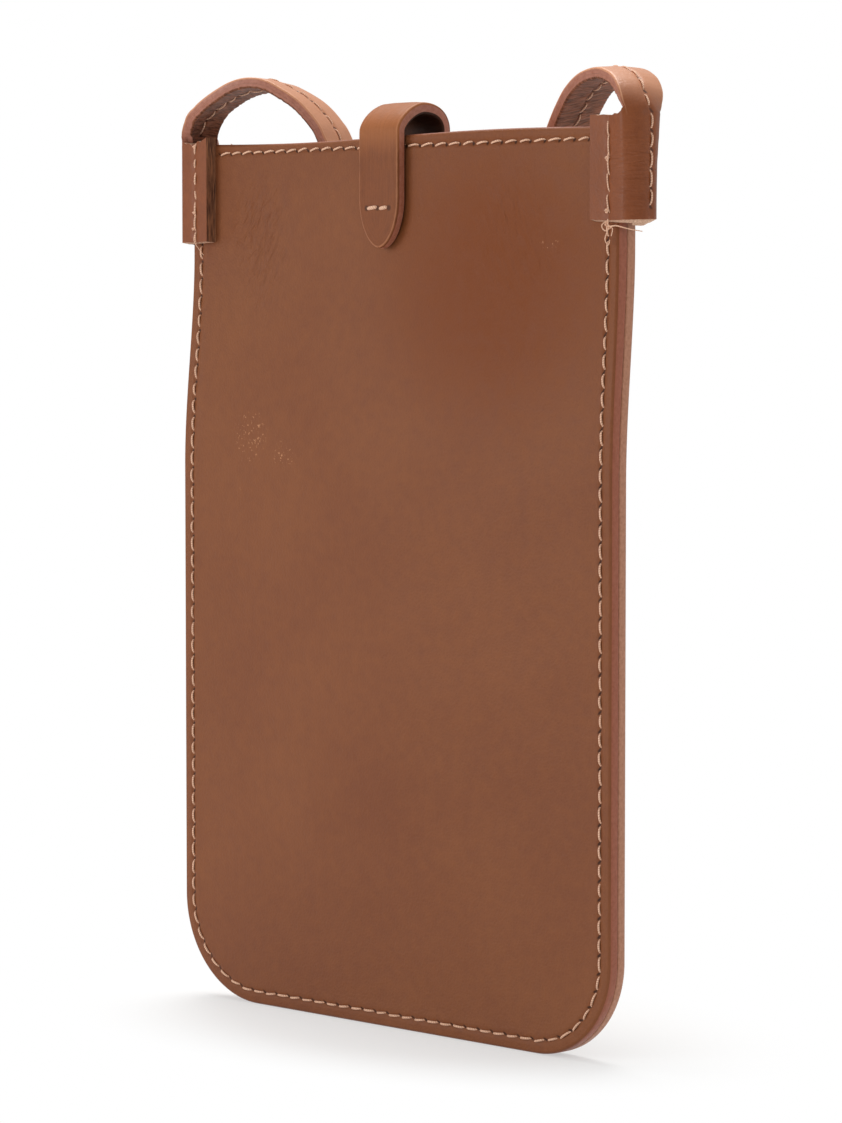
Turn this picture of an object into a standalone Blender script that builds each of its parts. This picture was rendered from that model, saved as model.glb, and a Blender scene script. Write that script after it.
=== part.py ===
"""Leather pouch with a closing tab and a shoulder strap, built piece by piece.

Metres, +Z up, -Y is the front. The case stands on its lower edge. Sizes are set in millimetres and
turned into metres by MM. The strap's unseen length is folded in half and wound up behind the case.
"""
import math

import bmesh
import bpy
import numpy as np
from mathutils import Matrix, Vector

MM = 0.001

# Case walls: an outer leather with a turned edge, and a lining inside it.
CASE_WIDTH = 120.2
CASE_HEIGHT = 179.3
CORNER_RADIUS = 25.0
LEATHER = 1.35
LINING = 0.90
BOND = 0.10
SEAM_GAP = 0.10
MOUTH_GAP = 0.70
TURNED_EDGE = 1.60
TURN_SLOPE = 0.50
EDGE_ROUND = 0.45
SEAM_MARGIN = 5.0
FRONT_BULGE = 2.9
BACK_BULGE = 1.6
BULGE_RAMP = 70.0
MOUTH_RISE = 1.6
MOUTH_RISE_AT = 14.0
MOUTH_RISE_SPREAD = 34.0
LEAN_LEFT = 3.2
LEAN_RIGHT = 2.1
LEAN_FROM = CASE_HEIGHT - 67.3
LEAN_TO = CASE_HEIGHT - 22.3

# Closing tab: a root sewn on the back wall, and the flap that bends over the mouth.
TAB_WIDTH = 11.0
TAB_AT = 1.0
TAB_OUTER = 1.25
TAB_INNER = 1.05
TAB_CLEAR = 0.30
TAB_ROOT_LENGTH = 16.0
TAB_ROOT_DROP = 1.2
TAB_DROP = 23.8
TAB_TIP_LENGTH = 10.0
TAB_ARCH_RISE = 4.0
TAB_CUT = 0.30
MAGNET_DIAMETER = 8.0
MAGNET_THICKNESS = 1.0
MAGNET_CLEAR = 0.10
MAGNET_DROP = 9.5

# Strap and the strap ends that are folded round the case's side edges.
STRAP_WIDTH = 11.2
STRAP_OUTER = 1.20
STRAP_INNER = 1.10
STRAP_BOND = 0.10
STRAP_CUT = 0.30
STRIP_ROUND = 0.25
END_OUTER = 1.30
END_INNER = 1.15
END_CLEAR = 0.25
END_LEFT_TOP = CASE_HEIGHT + 1.0
END_LEFT_HEIGHT = 21.8
END_LEFT_SLACK = 0.25
END_LEFT_FOLD = 1.1
END_RIGHT_TOP = CASE_HEIGHT + 1.9
END_RIGHT_HEIGHT = 20.2
END_RIGHT_SLACK = 2.0
END_RIGHT_FOLD = 1.9
END_REACH = 5.8
LOOP_DEPTH = 10.0

# The rest of the strap, folded in half and wound up behind the case.
LANE_PITCH = 3.1
OUTER_LANE = 14.5
WOUND_AT = 14.2
TOP_TURN_AT = CASE_HEIGHT - 61.3
FOLD_AT = 30.0
FOLD_BEND = 4.0
WAIST_AT = 64.0
WAIST_SPREAD = 22.0
WAIST_LEFT = 7.0
WAIST_RIGHT = 3.0
TIE_HEIGHT = 6.0
TIE_THICKNESS = 0.8
TIE_CLEAR = 0.35
TIE_CORNER = 1.2

WALL = LEATHER + BOND + LINING
HALF = CASE_WIDTH / 2
TAB_THICK = TAB_OUTER + BOND + TAB_INNER
STRAP_THICK = STRAP_OUTER + STRAP_BOND + STRAP_INNER
END_THICK = END_OUTER + STRAP_BOND + END_INNER
LEAN_MIDDLE = (LEAN_LEFT + LEAN_RIGHT) / 2

# The two loops of the strap, each from the top of its sewn end up, over and down behind the case:
# millimetres inwards, back from the seam and up.
LOOP_LEFT = ((0.0, 0.0, 0.0), (0.05, 0.0, 1.2), (0.65, 0.05, 3.3), (1.95, 0.15, 5.5), (4.05, 0.35, 7.5),
             (6.75, 0.7, 9.2), (9.85, 1.25, 10.4), (13.15, 2.1, 11.1), (16.1, 3.1, 11.25),
             (18.9, 4.2, 10.85), (21.5, 5.4, 9.8), (26.0, 7.9, 6.6), (29.4, 10.0, 2.2), (31.9, 11.2, -3.0))
LOOP_RIGHT = ((0.0, 0.8, 0.0), (0.0, 0.8, 0.8), (0.4, 1.05, 2.4), (1.3, 1.65, 4.2), (2.95, 2.5, 5.9),
              (5.15, 3.5, 7.3), (8.95, 4.95, 8.5), (12.5, 6.0, 8.7), (17.0, 7.3, 7.85),
              (21.15, 8.6, 5.8), (24.7, 9.95, 2.9), (27.9, 11.2, -0.5), (29.9, 11.8, -3.2))


def ease(value):
    """Smooth step from 0 to 1."""
    value = min(max(value, 0.0), 1.0)
    return value * value * (3 - 2 * value)


def lean_share(z):
    return ease((z - LEAN_FROM) / (LEAN_TO - LEAN_FROM))


def seam_plane(x, z):
    """Depth of the plane between the two walls: its upper part leans back."""
    lean = LEAN_MIDDLE + (LEAN_RIGHT - LEAN_LEFT) / 2 * (x / HALF)
    return lean * lean_share(z)


def seam_depth(z):
    """Distance from that plane to an outer face, along the seams."""
    return WALL + (SEAM_GAP + (MOUTH_GAP - SEAM_GAP) * lean_share(z)) / 2


def swell(x, z):
    """Share of the bulge at a place on a wall: none along the seams."""
    reach = min(abs(x) / (HALF - SEAM_MARGIN), 1.0)
    return math.cos(math.pi / 2 * reach) ** 1.3 * ease((z - SEAM_MARGIN) / BULGE_RAMP)


def wall_face(side, x, z):
    """Outer face of the front wall (side -1) or of the back wall (side 1)."""
    bulge = FRONT_BULGE if side < 0 else BACK_BULGE
    return seam_plane(x, z) + side * (seam_depth(z) + bulge * swell(x, z))


def mouth_height(x):
    """Height of the mouth's edge, which rises a little beside the tab."""
    return CASE_HEIGHT + MOUTH_RISE * math.exp(-((x - MOUTH_RISE_AT) / MOUTH_RISE_SPREAD) ** 2)


def outline(inset, sides=10, corners=5, bottom=7, top=9):
    """The case's outline drawn in by inset, from the left top corner down and round."""
    half = HALF - inset
    radius = max(CORNER_RADIUS - inset, 2.0)
    centre = half - radius
    low = inset + radius
    high = mouth_height(HALF) - inset
    points = [(-half, high + (low - high) * k / sides) for k in range(sides)]
    for k in range(corners):
        a = math.pi / 2 * k / corners
        points.append((-centre - radius * math.cos(a), low - radius * math.sin(a)))
    points += [(-centre + 2 * centre * k / bottom, inset) for k in range(bottom)]
    for k in range(corners):
        a = math.pi / 2 * (1 - k / corners)
        points.append((centre + radius * math.cos(a), low - radius * math.sin(a)))
    points += [(half, low + (high - low) * k / sides) for k in range(sides + 1)]
    for k in range(1, top):
        x = half - 2 * half * k / top
        points.append((x, mouth_height(x) - inset))
    return points


def smooth_path(points, step):
    """Points a step apart on a smooth curve through the given points."""
    points = np.asarray(points, float)
    gaps = np.linalg.norm(np.diff(points, axis=0), axis=1) ** 0.5
    slopes = np.diff(points, axis=0) / gaps[:, None]
    before, after = gaps[:-1, None], gaps[1:, None]
    middle = (slopes[:-1] * after + slopes[1:] * before) / (before + after)
    tangents = np.vstack([2 * slopes[0] - middle[0], middle, 2 * slopes[-1] - middle[-1]])
    t = np.linspace(0, 1, 40, endpoint=False)[:, None]
    fine = []
    for k, gap in enumerate(gaps):
        fine.append(points[k] * (2 * t ** 3 - 3 * t ** 2 + 1) + points[k + 1] * (3 * t ** 2 - 2 * t ** 3)
                    + tangents[k] * gap * (t ** 3 - 2 * t ** 2 + t)
                    + tangents[k + 1] * gap * (t ** 3 - t ** 2))
    return even_path(np.vstack(fine + [points[-1:]]), step)


def path_length(points):
    return np.r_[0.0, np.cumsum(np.linalg.norm(np.diff(points, axis=0), axis=1))]


def even_path(points, step):
    """The same line with its points a step apart."""
    points = np.asarray(points, float)
    length = path_length(points)
    places = np.linspace(0, length[-1], max(2, int(round(length[-1] / step)) + 1))
    return np.stack([np.interp(places, length, points[:, k]) for k in range(3)], axis=1)


def strip_frame(points, across):
    """Running, width and face directions of a strip whose width lies along 'across'."""
    run = np.gradient(points, axis=0)
    run /= np.linalg.norm(run, axis=1)[:, None]
    wide = np.asarray(across, float) - run * (run @ np.asarray(across, float))[:, None]
    wide /= np.linalg.norm(wide, axis=1)[:, None]
    face = np.cross(wide, run)
    if face[int(np.argmax(points[:, 2]))][2] < 0:
        face = -face
    return run, wide, face


def spread(length, run, first, last, step, turn):
    """Places along a path: a step apart where it is straight, about 'turn' degrees where it bends."""
    places = [first]
    while places[-1] < last - 0.6 * step / (1 + step / turn):
        k = min(int(np.searchsorted(length, places[-1])), len(length) - 2)
        j = min(int(np.searchsorted(length, places[-1] + 2.0)), len(length) - 1)
        bend = math.degrees(math.acos(float(np.clip(run[k] @ run[j], -1, 1)))) / 2.0
        places.append(min(places[-1] + step / (1 + bend * step / turn), last))
    places[-1] = last
    return np.array(places)


def pick(values, length, places):
    """Points or directions of a path at given places along it."""
    return np.stack([np.interp(places, length, values[:, k]) for k in range(3)], axis=1)


def end_top(side):
    return END_LEFT_TOP if side < 0 else END_RIGHT_TOP


def end_middle(side):
    """Depth of a strap end's middle: the case's own seam plane at that edge."""
    return LEAN_LEFT if side < 0 else LEAN_RIGHT


def end_slack(side):
    """Free space between the case's edge and the strap end that goes round it."""
    return END_LEFT_SLACK if side < 0 else END_RIGHT_SLACK


def loop_points(side):
    """Route of one loop's middle line, from its strap end to its place behind the case."""
    start = HALF + end_slack(side) + END_THICK / 2
    return [(side * (start - inward), end_middle(side) + back, end_top(side) + up)
            for inward, back, up in (LOOP_LEFT if side < 0 else LOOP_RIGHT)]


def waist(x, z):
    """The wound strap is drawn in where its tie holds it."""
    pull = math.exp(-((z - WAIST_AT) / WAIST_SPREAD) ** 2)
    return x + (WAIST_LEFT if x < 0 else -WAIST_RIGHT) * pull


def arc(cx, cz, radius, start, stop, count):
    """Points on an upright arc behind the case, angles in degrees from +X towards +Z."""
    angles = np.radians(np.linspace(start, stop, count))
    spots = [(cx + radius * math.cos(a), cz + radius * math.sin(a)) for a in angles]
    return [(waist(x, z), WOUND_AT, z) for x, z in spots]


def lane(x, start, stop, count):
    """Points along one upright lane of the wound strap."""
    return [(waist(x, z), WOUND_AT, z) for z in np.linspace(start, stop, count)]


def strap_route():
    """The free strap in one line: right loop, wound up in two turns to its fold, back, left loop."""
    outer = OUTER_LANE
    inner = outer - LANE_PITCH
    second = inner - LANE_PITCH
    third = second - LANE_PITCH
    low = outer + STRAP_THICK / 2
    right_end = loop_points(1)
    left_end = loop_points(-1)
    xr, back, zr = right_end[-1][0] - outer, right_end[-1][1] - WOUND_AT, right_end[-1][2]
    line = right_end
    line += [(outer + xr * 0.62, WOUND_AT + back * 0.85, zr - 9.0),
             (outer + xr * 0.29, WOUND_AT + back * 0.5, zr - 19.0),
             (outer + xr * 0.06, WOUND_AT + back * 0.15, zr - 31.0)]
    line += lane(outer, TOP_TURN_AT + 18, low + 6, 15)
    line += arc(0, low, outer, 0, -180, 9)
    line += lane(-outer, low + 6, TOP_TURN_AT - 5, 13)
    line += arc((second - outer) / 2, TOP_TURN_AT, (outer + second) / 2, 180, 0, 8)
    line += lane(second, TOP_TURN_AT - 6, FOLD_AT + 8, 11)
    line += arc(second - FOLD_BEND, FOLD_AT, FOLD_BEND, 0, -180, 7)
    line += [(waist(second - 2 * FOLD_BEND + 0.9, FOLD_AT + 10), WOUND_AT, FOLD_AT + 10)]
    line += [(waist(third - 1.2, FOLD_AT + 19), WOUND_AT, FOLD_AT + 19)]
    line += lane(third, FOLD_AT + 27, TOP_TURN_AT - 6, 9)
    line += arc((third - inner) / 2, TOP_TURN_AT, (third + inner) / 2, 0, 180, 8)
    line += lane(-inner, TOP_TURN_AT - 5, low + 6, 13)
    line += arc(0, low, inner, -180, 0, 8)
    line += lane(inner, low + 6, TOP_TURN_AT, 13)
    xl, back, zl = left_end[-1][0], left_end[-1][1] - WOUND_AT, left_end[-1][2]
    line += [(inner - 0.4, WOUND_AT, TOP_TURN_AT + 8), (inner - 3.0, WOUND_AT + back * 0.1, zl - 44.0)]
    line += [(inner - 9.4, WOUND_AT + back * 0.3, zl - 34.5), (xl * 0.27, WOUND_AT + back * 0.6, zl - 23.5),
             (xl * 0.66, WOUND_AT + back * 0.85, zl - 11.5)]
    line += list(reversed(left_end))
    return smooth_path(line, 0.5)


def tab_line():
    """Middle line of the tab: up the back wall, over the mouth and down the front wall."""
    mouth = mouth_height(TAB_AT)
    y_back = wall_face(1, TAB_AT, mouth) + TAB_CLEAR + TAB_THICK / 2
    y_front = wall_face(-1, TAB_AT, mouth) - TAB_CLEAR - TAB_THICK / 2
    centre, half = (y_back + y_front) / 2, (y_back - y_front) / 2
    power = 2 / 2.4
    line = [(TAB_AT, y_back, z) for z in np.linspace(mouth - TAB_ROOT_DROP - TAB_ROOT_LENGTH, mouth - 0.8, 40)]
    for a in np.linspace(0, math.pi, 121):
        c, s = math.cos(a), math.sin(a)
        line.append((TAB_AT, centre + half * math.copysign(abs(c) ** power, c),
                     mouth - 0.6 + (TAB_ARCH_RISE + 0.6) * abs(s) ** power))
    line += [(TAB_AT, y_front, z) for z in np.linspace(mouth - 0.8, mouth - TAB_DROP, 60)]
    return even_path(line, 0.05), y_back, y_front, mouth


STRAP = strap_route()
STRAP_RUN, STRAP_WIDE, STRAP_FACE = strip_frame(STRAP, (0, 1, 0))
TAB, TAB_BACK, TAB_FRONT, MOUTH = tab_line()

# Everything is laid out about the case's own middle. These shifts centre the whole on x = y = 0.
LOOP_REACH = float(np.max(STRAP[:, 1] + STRAP_WIDE[:, 1] * STRAP_WIDTH / 2
                          + np.abs(STRAP_FACE[:, 1]) * STRAP_THICK / 2))
BACK_REACH = max(LOOP_REACH, WOUND_AT + STRAP_WIDTH / 2 + TIE_CLEAR + TIE_THICKNESS)
SHIFT_X = (END_LEFT_SLACK - END_RIGHT_SLACK) / 2
SHIFT_Y = -(TAB_FRONT - TAB_THICK / 2 + BACK_REACH) / 2


def placed(point):
    """A place in the layout, in millimetres, as a place in the frame, in metres."""
    return Vector((point[0] + SHIFT_X, point[1] + SHIFT_Y, point[2])) * MM


def clear_scene():
    for item in list(bpy.data.objects):
        bpy.data.objects.remove(item, do_unlink=True)
    for block in (bpy.data.meshes, bpy.data.curves, bpy.data.materials):
        for item in list(block):
            block.remove(item)


def linear(code):
    """Linear colour from a six-digit colour code."""
    parts = [int(code[i:i + 2], 16) / 255 for i in (0, 2, 4)]
    return tuple(c / 12.92 if c <= 0.04045 else ((c + 0.055) / 1.055) ** 2.4 for c in parts)


def material(name, code, roughness, metallic=0.0):
    made = bpy.data.materials.new(name)
    made.use_nodes = True
    shader = made.node_tree.nodes["Principled BSDF"]
    shader.inputs["Base Color"].default_value = (*linear(code), 1.0)
    shader.inputs["Roughness"].default_value = roughness
    shader.inputs["Metallic"].default_value = metallic
    made.diffuse_color = (*linear(code), 1.0)
    return made


def add_object(name, mesh, look, collection):
    item = bpy.data.objects.new(name, mesh)
    collection.objects.link(item)
    mesh.materials.append(look)
    return item


def thicken(item, thickness, offset):
    shell = item.modifiers.new("Thickness", "SOLIDIFY")
    shell.offset = offset
    shell.thickness = thickness * MM
    return shell


def round_edges(item, width, segments):
    edge = item.modifiers.new("Edge", "BEVEL")
    edge.limit_method = "ANGLE"
    edge.angle_limit = math.radians(75)
    edge.width = width * MM
    edge.segments = segments


def wall_piece(name, side, insets, depth, thickness, look, collection, turned):
    """One layer of a wall: its outer surface, thickened inwards, with a turned edge if asked."""
    work = bmesh.new()
    rings = []
    for inset in insets:
        ring = [work.verts.new(placed((x, wall_face(side, x, z) - side * depth, z)))
                for x, z in outline(inset)]
        rings.append(ring)
    count = len(rings[0])
    for a, b in zip(rings, rings[1:]):
        for k in range(count):
            j = (k + 1) % count
            work.faces.new((a[k], a[j], b[j], b[k]))
    inner = [work.edges.get((rings[-1][k], rings[-1][(k + 1) % count])) for k in range(count)]
    bmesh.ops.triangle_fill(work, use_beauty=True, edges=inner)
    bmesh.ops.recalc_face_normals(work, faces=work.faces)
    if side * sum(face.normal.y for face in work.faces) < 0:
        bmesh.ops.reverse_faces(work, faces=work.faces)
    work.verts.index_update()
    edge_band = [vert.index for ring in rings[:2] for vert in ring]
    mesh = bpy.data.meshes.new(name)
    work.to_mesh(mesh)
    work.free()
    item = add_object(name, mesh, look, collection)
    if turned:
        item.vertex_groups.new(name="turned_edge").add(edge_band, 1.0, "REPLACE")
        shell = thicken(item, WALL, -1.0)
        shell.vertex_group = "turned_edge"
        shell.thickness_vertex_group = thickness / WALL
        round_edges(item, EDGE_ROUND, 2)
    else:
        thicken(item, thickness, -1.0)
    return item


def strip_piece(name, points, wide, face, half_width, low, high, look, collection,
                closed=False, rounded=True):
    """A flat strip along a path, filling 'low' to 'high' along its face direction."""
    half_width = np.ones(len(points)) * half_width
    work = bmesh.new()
    pairs = []
    for point, side, up, half in zip(points, wide, face, half_width):
        middle = point + up * (low + high) / 2
        pairs.append([work.verts.new(placed(middle + side * half * s)) for s in (-1, 1)])
    steps = list(zip(pairs, pairs[1:]))
    if closed:
        steps.append((pairs[-1], pairs[0]))
    for a, b in steps:
        work.faces.new((a[0], a[1], b[1]))
        work.faces.new((a[0], b[1], b[0]))
    mesh = bpy.data.meshes.new(name)
    work.to_mesh(mesh)
    work.free()
    item = add_object(name, mesh, look, collection)
    thicken(item, high - low, 0.0)
    if rounded:
        round_edges(item, STRIP_ROUND, 1)
    return item


def disc_mesh(name, grow):
    work = bmesh.new()
    radius = (MAGNET_DIAMETER / 2 + grow) * MM
    bmesh.ops.create_cone(work, cap_ends=True, segments=24, radius1=radius, radius2=radius,
                          depth=(MAGNET_THICKNESS + 2 * grow) * MM)
    mesh = bpy.data.meshes.new(name)
    work.to_mesh(mesh)
    work.free()
    return mesh


def hang_on(item, empty):
    """Make a piece turn with the empty on its joint, without moving it."""
    item.parent = empty
    item.matrix_parent_inverse = Matrix.Translation(empty.location).inverted()


def build_walls(collection, leather, lining):
    """Front and back walls. A wall's layers share their inner outlines, so their facets match."""
    shared = (6.0, 12.0, 20.0, 30.0, 41.0, 53.0)
    walls = {}
    for side, word in ((-1, "front"), (1, "back")):
        rims = (0.0, TURNED_EDGE, TURNED_EDGE + TURN_SLOPE)
        walls[word + "_panel"] = wall_piece(word + "_panel", side, rims + shared, 0.0, LEATHER,
                                            leather, collection, True)
        start = (TURNED_EDGE + TURN_SLOPE + BOND,)
        walls[word + "_lining"] = wall_piece(word + "_lining", side, start + shared, LEATHER + BOND,
                                             LINING, lining, collection, False)
    return walls


def build_tab(collection, strip_look, inner_look):
    """Root and flap of the tab, two leathers each. The flap turns on the empty at its bend."""
    length = path_length(TAB)
    run, wide, face = strip_frame(TAB, (1, 0, 0))
    cut = TAB_ROOT_LENGTH
    k = int(np.searchsorted(length, cut))
    axis = bpy.data.objects.new("tab_axis", None)
    axis.location = placed(TAB[k] + face[k] * TAB_THICK / 2)
    collection.objects.link(axis)
    print("tab axis, m:", [round(float(v), 6) for v in axis.location])
    end = length[-1]
    body = spread(length, run, cut + TAB_CUT / 2, end - TAB_TIP_LENGTH, 5.0, 10.0)
    tip = end - TAB_TIP_LENGTH * (1 - np.linspace(0, 1, 10)[1:]) ** 1.6
    root = np.linspace(0.0, cut - TAB_CUT / 2, 4)
    flap = np.r_[body, tip]
    layers = {}
    for word, low, high, look in (
            ("inner", -TAB_THICK / 2, -TAB_THICK / 2 + TAB_INNER, inner_look),
            ("outer", -TAB_THICK / 2 + TAB_INNER + BOND, TAB_THICK / 2, strip_look)):
        for name, places in (("tab_root_" + word, root), ("tab_" + word, flap)):
            left_over = np.clip((end - places) / TAB_TIP_LENGTH, 0, 1)
            halves = TAB_WIDTH / 2 * np.maximum((1 - (1 - left_over) ** 1.9) ** 0.62, 0.12)
            item = strip_piece(name, pick(TAB, length, places), pick(wide, length, places),
                               pick(face, length, places), halves, low, high, look, collection)
            if places is flap:
                hang_on(item, axis)
                layers[word] = item
    return layers, axis


def build_magnets(collection, cutters, walls, layers, axis, steel):
    """A magnet in the flap and one behind the front leather, each let into the layers round it."""
    z = MOUTH - MAGNET_DROP
    seats = (("tab_magnet", TAB_FRONT + TAB_THICK / 2 - TAB_INNER - BOND / 2,
              (layers["inner"], layers["outer"])),
             ("front_magnet", wall_face(-1, TAB_AT, z) + LEATHER + BOND / 2,
              (walls["front_panel"], walls["front_lining"])))
    for name, y, holders in seats:
        magnet = add_object(name, disc_mesh(name, 0.0), steel, collection)
        cutter = add_object(name + "_pocket", disc_mesh(name + "_pocket", MAGNET_CLEAR), steel, cutters)
        for item in (magnet, cutter):
            item.location = placed((TAB_AT, y, z))
            item.rotation_euler = (math.pi / 2, 0, 0)
        cutter.hide_render = True
        cutter.display_type = "WIRE"
        for holder in holders:
            pocket = holder.modifiers.new("Pocket", "BOOLEAN")
            pocket.operation = "DIFFERENCE"
            pocket.object = cutter
        if name == "tab_magnet":
            hang_on(magnet, axis)


def build_strap_ends(collection, strip_look, inner_look):
    """Strap ends: two leathers folded round a side edge, with a flange on each wall."""
    reach = WALL + MOUTH_GAP / 2 + END_CLEAR
    turn = np.linspace(-90, 0, 5)
    for side, word, height, fold in ((-1, "left", END_LEFT_HEIGHT, END_LEFT_FOLD),
                                     (1, "right", END_RIGHT_HEIGHT, END_RIGHT_FOLD)):
        x_out = HALF + end_slack(side)
        plan, normals = [(HALF - END_REACH, -reach), (HALF - END_REACH / 2, -reach)], [(0, -1), (0, -1)]
        for a in np.radians(np.r_[turn, -turn[::-1]]):
            way = -1 if len(plan) < 7 else 1
            plan.append((x_out - fold * (1 - math.cos(a)), way * (reach - fold) + fold * math.sin(a)))
            normals.append((math.cos(a), math.sin(a)))
        plan += [(HALF - END_REACH / 2, reach), (HALF - END_REACH, reach)]
        normals += [(0, 1), (0, 1)]
        z = end_top(side) - height / 2
        points = np.array([(side * x, end_middle(side) + y, z) for x, y in plan])
        face = np.array([(side * nx, ny, 0.0) for nx, ny in normals])
        wide = np.array([(0.0, 0.0, 1.0)] * len(points))
        for layer, low, high, look in (("inner", 0.0, END_INNER, inner_look),
                                       ("outer", END_INNER + STRAP_BOND, END_THICK, strip_look)):
            strip_piece("strap_end_" + word + "_" + layer, points, wide, face, height / 2,
                        low, high, look, collection)


def build_strap(collection, strip_look, inner_look):
    """The free strap in three stretches, cut behind the case where the loops come down."""
    length = path_length(STRAP)
    over = np.where(STRAP[:, 2] > END_RIGHT_TOP - LOOP_DEPTH)[0]
    split = int(np.argmax(np.diff(over)))
    first_cut, last_cut = length[over[split]], length[over[split + 1]]
    half_cut = STRAP_CUT / 2
    stretches = (("strap_right", STRAP_CUT, first_cut - half_cut, 4.0, 10.0),
                 ("strap_wound", first_cut + half_cut, last_cut - half_cut, 7.0, 12.0),
                 ("strap_left", last_cut + half_cut, length[-1] - STRAP_CUT, 4.0, 10.0))
    for name, first, last, step, turn in stretches:
        places = spread(length, STRAP_RUN, first, last, step, turn)
        points = pick(STRAP, length, places)
        wide, face = pick(STRAP_WIDE, length, places), pick(STRAP_FACE, length, places)
        for word, low, high, look in (
                ("inner", -STRAP_THICK / 2, -STRAP_THICK / 2 + STRAP_INNER, inner_look),
                ("outer", -STRAP_THICK / 2 + STRAP_INNER + STRAP_BOND, STRAP_THICK / 2, strip_look)):
            strip_piece(name + "_" + word, points, wide, face, STRAP_WIDTH / 2, low, high, look,
                        collection, rounded=name != "strap_wound")
    wound = even_path(STRAP[over[split]:over[split + 1]], 1.5)
    apart = np.linalg.norm(wound[:, None] - wound[None], axis=2)
    near = np.abs(np.subtract.outer(np.arange(len(wound)), np.arange(len(wound)))) < 8
    apart[near] = 1e9
    print("free strap, mm:", round(float(length[-1]), 1))
    nearest = wound[int(np.argmin(apart.min(axis=1)))]
    print("least gap of the wound strap to itself, mm:", round(float(apart.min() - STRAP_THICK), 2),
          "near", [round(float(v)) for v in nearest])


def build_tie(collection, tape):
    """Band round the waist of the wound strap."""
    left = waist(-OUTER_LANE, WAIST_AT) - STRAP_THICK / 2 - TIE_CLEAR - TIE_THICKNESS / 2
    right = waist(OUTER_LANE, WAIST_AT) + STRAP_THICK / 2 + TIE_CLEAR + TIE_THICKNESS / 2
    half_x = (right - left) / 2 - TIE_CORNER
    half_y = STRAP_WIDTH / 2 + TIE_CLEAR + TIE_THICKNESS / 2 - TIE_CORNER
    points, face = [], []
    for sx, sy, start in ((1, 1, 0), (-1, 1, 90), (-1, -1, 180), (1, -1, 270)):
        for a in np.radians(np.linspace(start, start + 90, 4)):
            points.append(((left + right) / 2 + sx * half_x + TIE_CORNER * math.cos(a),
                           WOUND_AT + sy * half_y + TIE_CORNER * math.sin(a), WAIST_AT))
            face.append((math.cos(a), math.sin(a), 0.0))
    wide = np.array([(0.0, 0.0, 1.0)] * len(points))
    strip_piece("strap_tie", np.array(points), wide, np.array(face), TIE_HEIGHT / 2,
                -TIE_THICKNESS / 2, TIE_THICKNESS / 2, tape, collection, closed=True, rounded=False)


def build():
    clear_scene()
    collection = bpy.data.collections.new("card_case")
    bpy.context.scene.collection.children.link(collection)
    cutters = bpy.data.collections.new("cutters")
    bpy.context.scene.collection.children.link(cutters)
    leather = material("tan_leather", "84543C", 0.5)
    strip_look = material("tan_leather_strip", "9A5C3E", 0.5)
    inner_look = material("tan_leather_inside", "6B4433", 0.65)
    lining = material("lining_leather", "5A3F33", 0.8)
    steel = material("magnet_steel", "A9ABAD", 0.35, 1.0)
    tape = material("cotton_tape", "CDBFA8", 0.9)
    walls = build_walls(collection, leather, lining)
    layers, axis = build_tab(collection, strip_look, inner_look)
    build_magnets(collection, cutters, walls, layers, axis, steel)
    build_strap_ends(collection, strip_look, inner_look)
    build_strap(collection, strip_look, inner_look)
    build_tie(collection, tape)


build()
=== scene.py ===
# %% [markdown]
# # A tan leather pouch with a closing tab and a shoulder strap
#
# The pouch stands on its lower edge. Two strips of leather are sewn round its upper corners and rise
# into loops, and the unseen rest of the strap is wound up behind it. Lengths are in millimetres in
# the layout and become metres when a mesh is made.

# %% The solid model as a frame
import math

import bmesh
import bpy
import numpy as np
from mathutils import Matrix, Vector


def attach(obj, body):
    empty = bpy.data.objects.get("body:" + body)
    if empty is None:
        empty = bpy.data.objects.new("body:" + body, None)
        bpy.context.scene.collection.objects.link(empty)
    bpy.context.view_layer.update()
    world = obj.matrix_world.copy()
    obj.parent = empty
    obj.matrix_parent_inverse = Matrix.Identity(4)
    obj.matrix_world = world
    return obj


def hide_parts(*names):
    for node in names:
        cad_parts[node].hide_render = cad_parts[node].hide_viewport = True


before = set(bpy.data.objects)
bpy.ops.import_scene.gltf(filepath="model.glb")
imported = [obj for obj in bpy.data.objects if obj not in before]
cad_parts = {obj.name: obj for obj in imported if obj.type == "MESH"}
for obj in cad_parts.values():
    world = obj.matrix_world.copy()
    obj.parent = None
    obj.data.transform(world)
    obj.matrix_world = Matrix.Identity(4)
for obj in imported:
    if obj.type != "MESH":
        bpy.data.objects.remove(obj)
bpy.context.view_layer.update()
MM = 0.001
SHIFT = np.array([-0.875, -7.6462, 0.0])    # from the layout's origin to the frame's, in mm

# %% [markdown]
# ## Camera and lamps
#
# The photo looks at the pouch from the front, 44 degrees round to its right and 4 degrees from above,
# with a long lens, so that its edges hardly converge. It was taken in soft light from all round. One
# strong lamp would give hard shadows, so the world gives even light and three broad, weak lamps only
# give it a direction.

# %% Camera and lamps
CAMERA_AT, CAMERA_LOOKS_AT, LENS, SENSOR = (550.26, -558.18, 143.95), (7.448, 0.0, 94.53), 125.26, 36.0


def place(point):
    """A place in the layout as a place in the frame, in metres."""
    return Vector((np.asarray(point, float) + SHIFT) * MM)


def put(name, data, spot=(0, 0, 0), target=None):
    """An object in the scene at a spot, turned to look at a target if there is one."""
    item = bpy.data.objects.new(name, data)
    bpy.context.scene.collection.objects.link(item)
    item.location = spot
    if target is not None:
        item.rotation_euler = (Vector(target) - item.location).to_track_quat("-Z", "Y").to_euler()
    return item


def lamp(name, spot, target, width, power):
    """A round lamp, its width in metres and its power in watts."""
    light = bpy.data.lights.new(name, "AREA")
    light.shape = "DISK"
    light.size = width
    light.energy = power
    put(name, light, spot, target)


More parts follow.
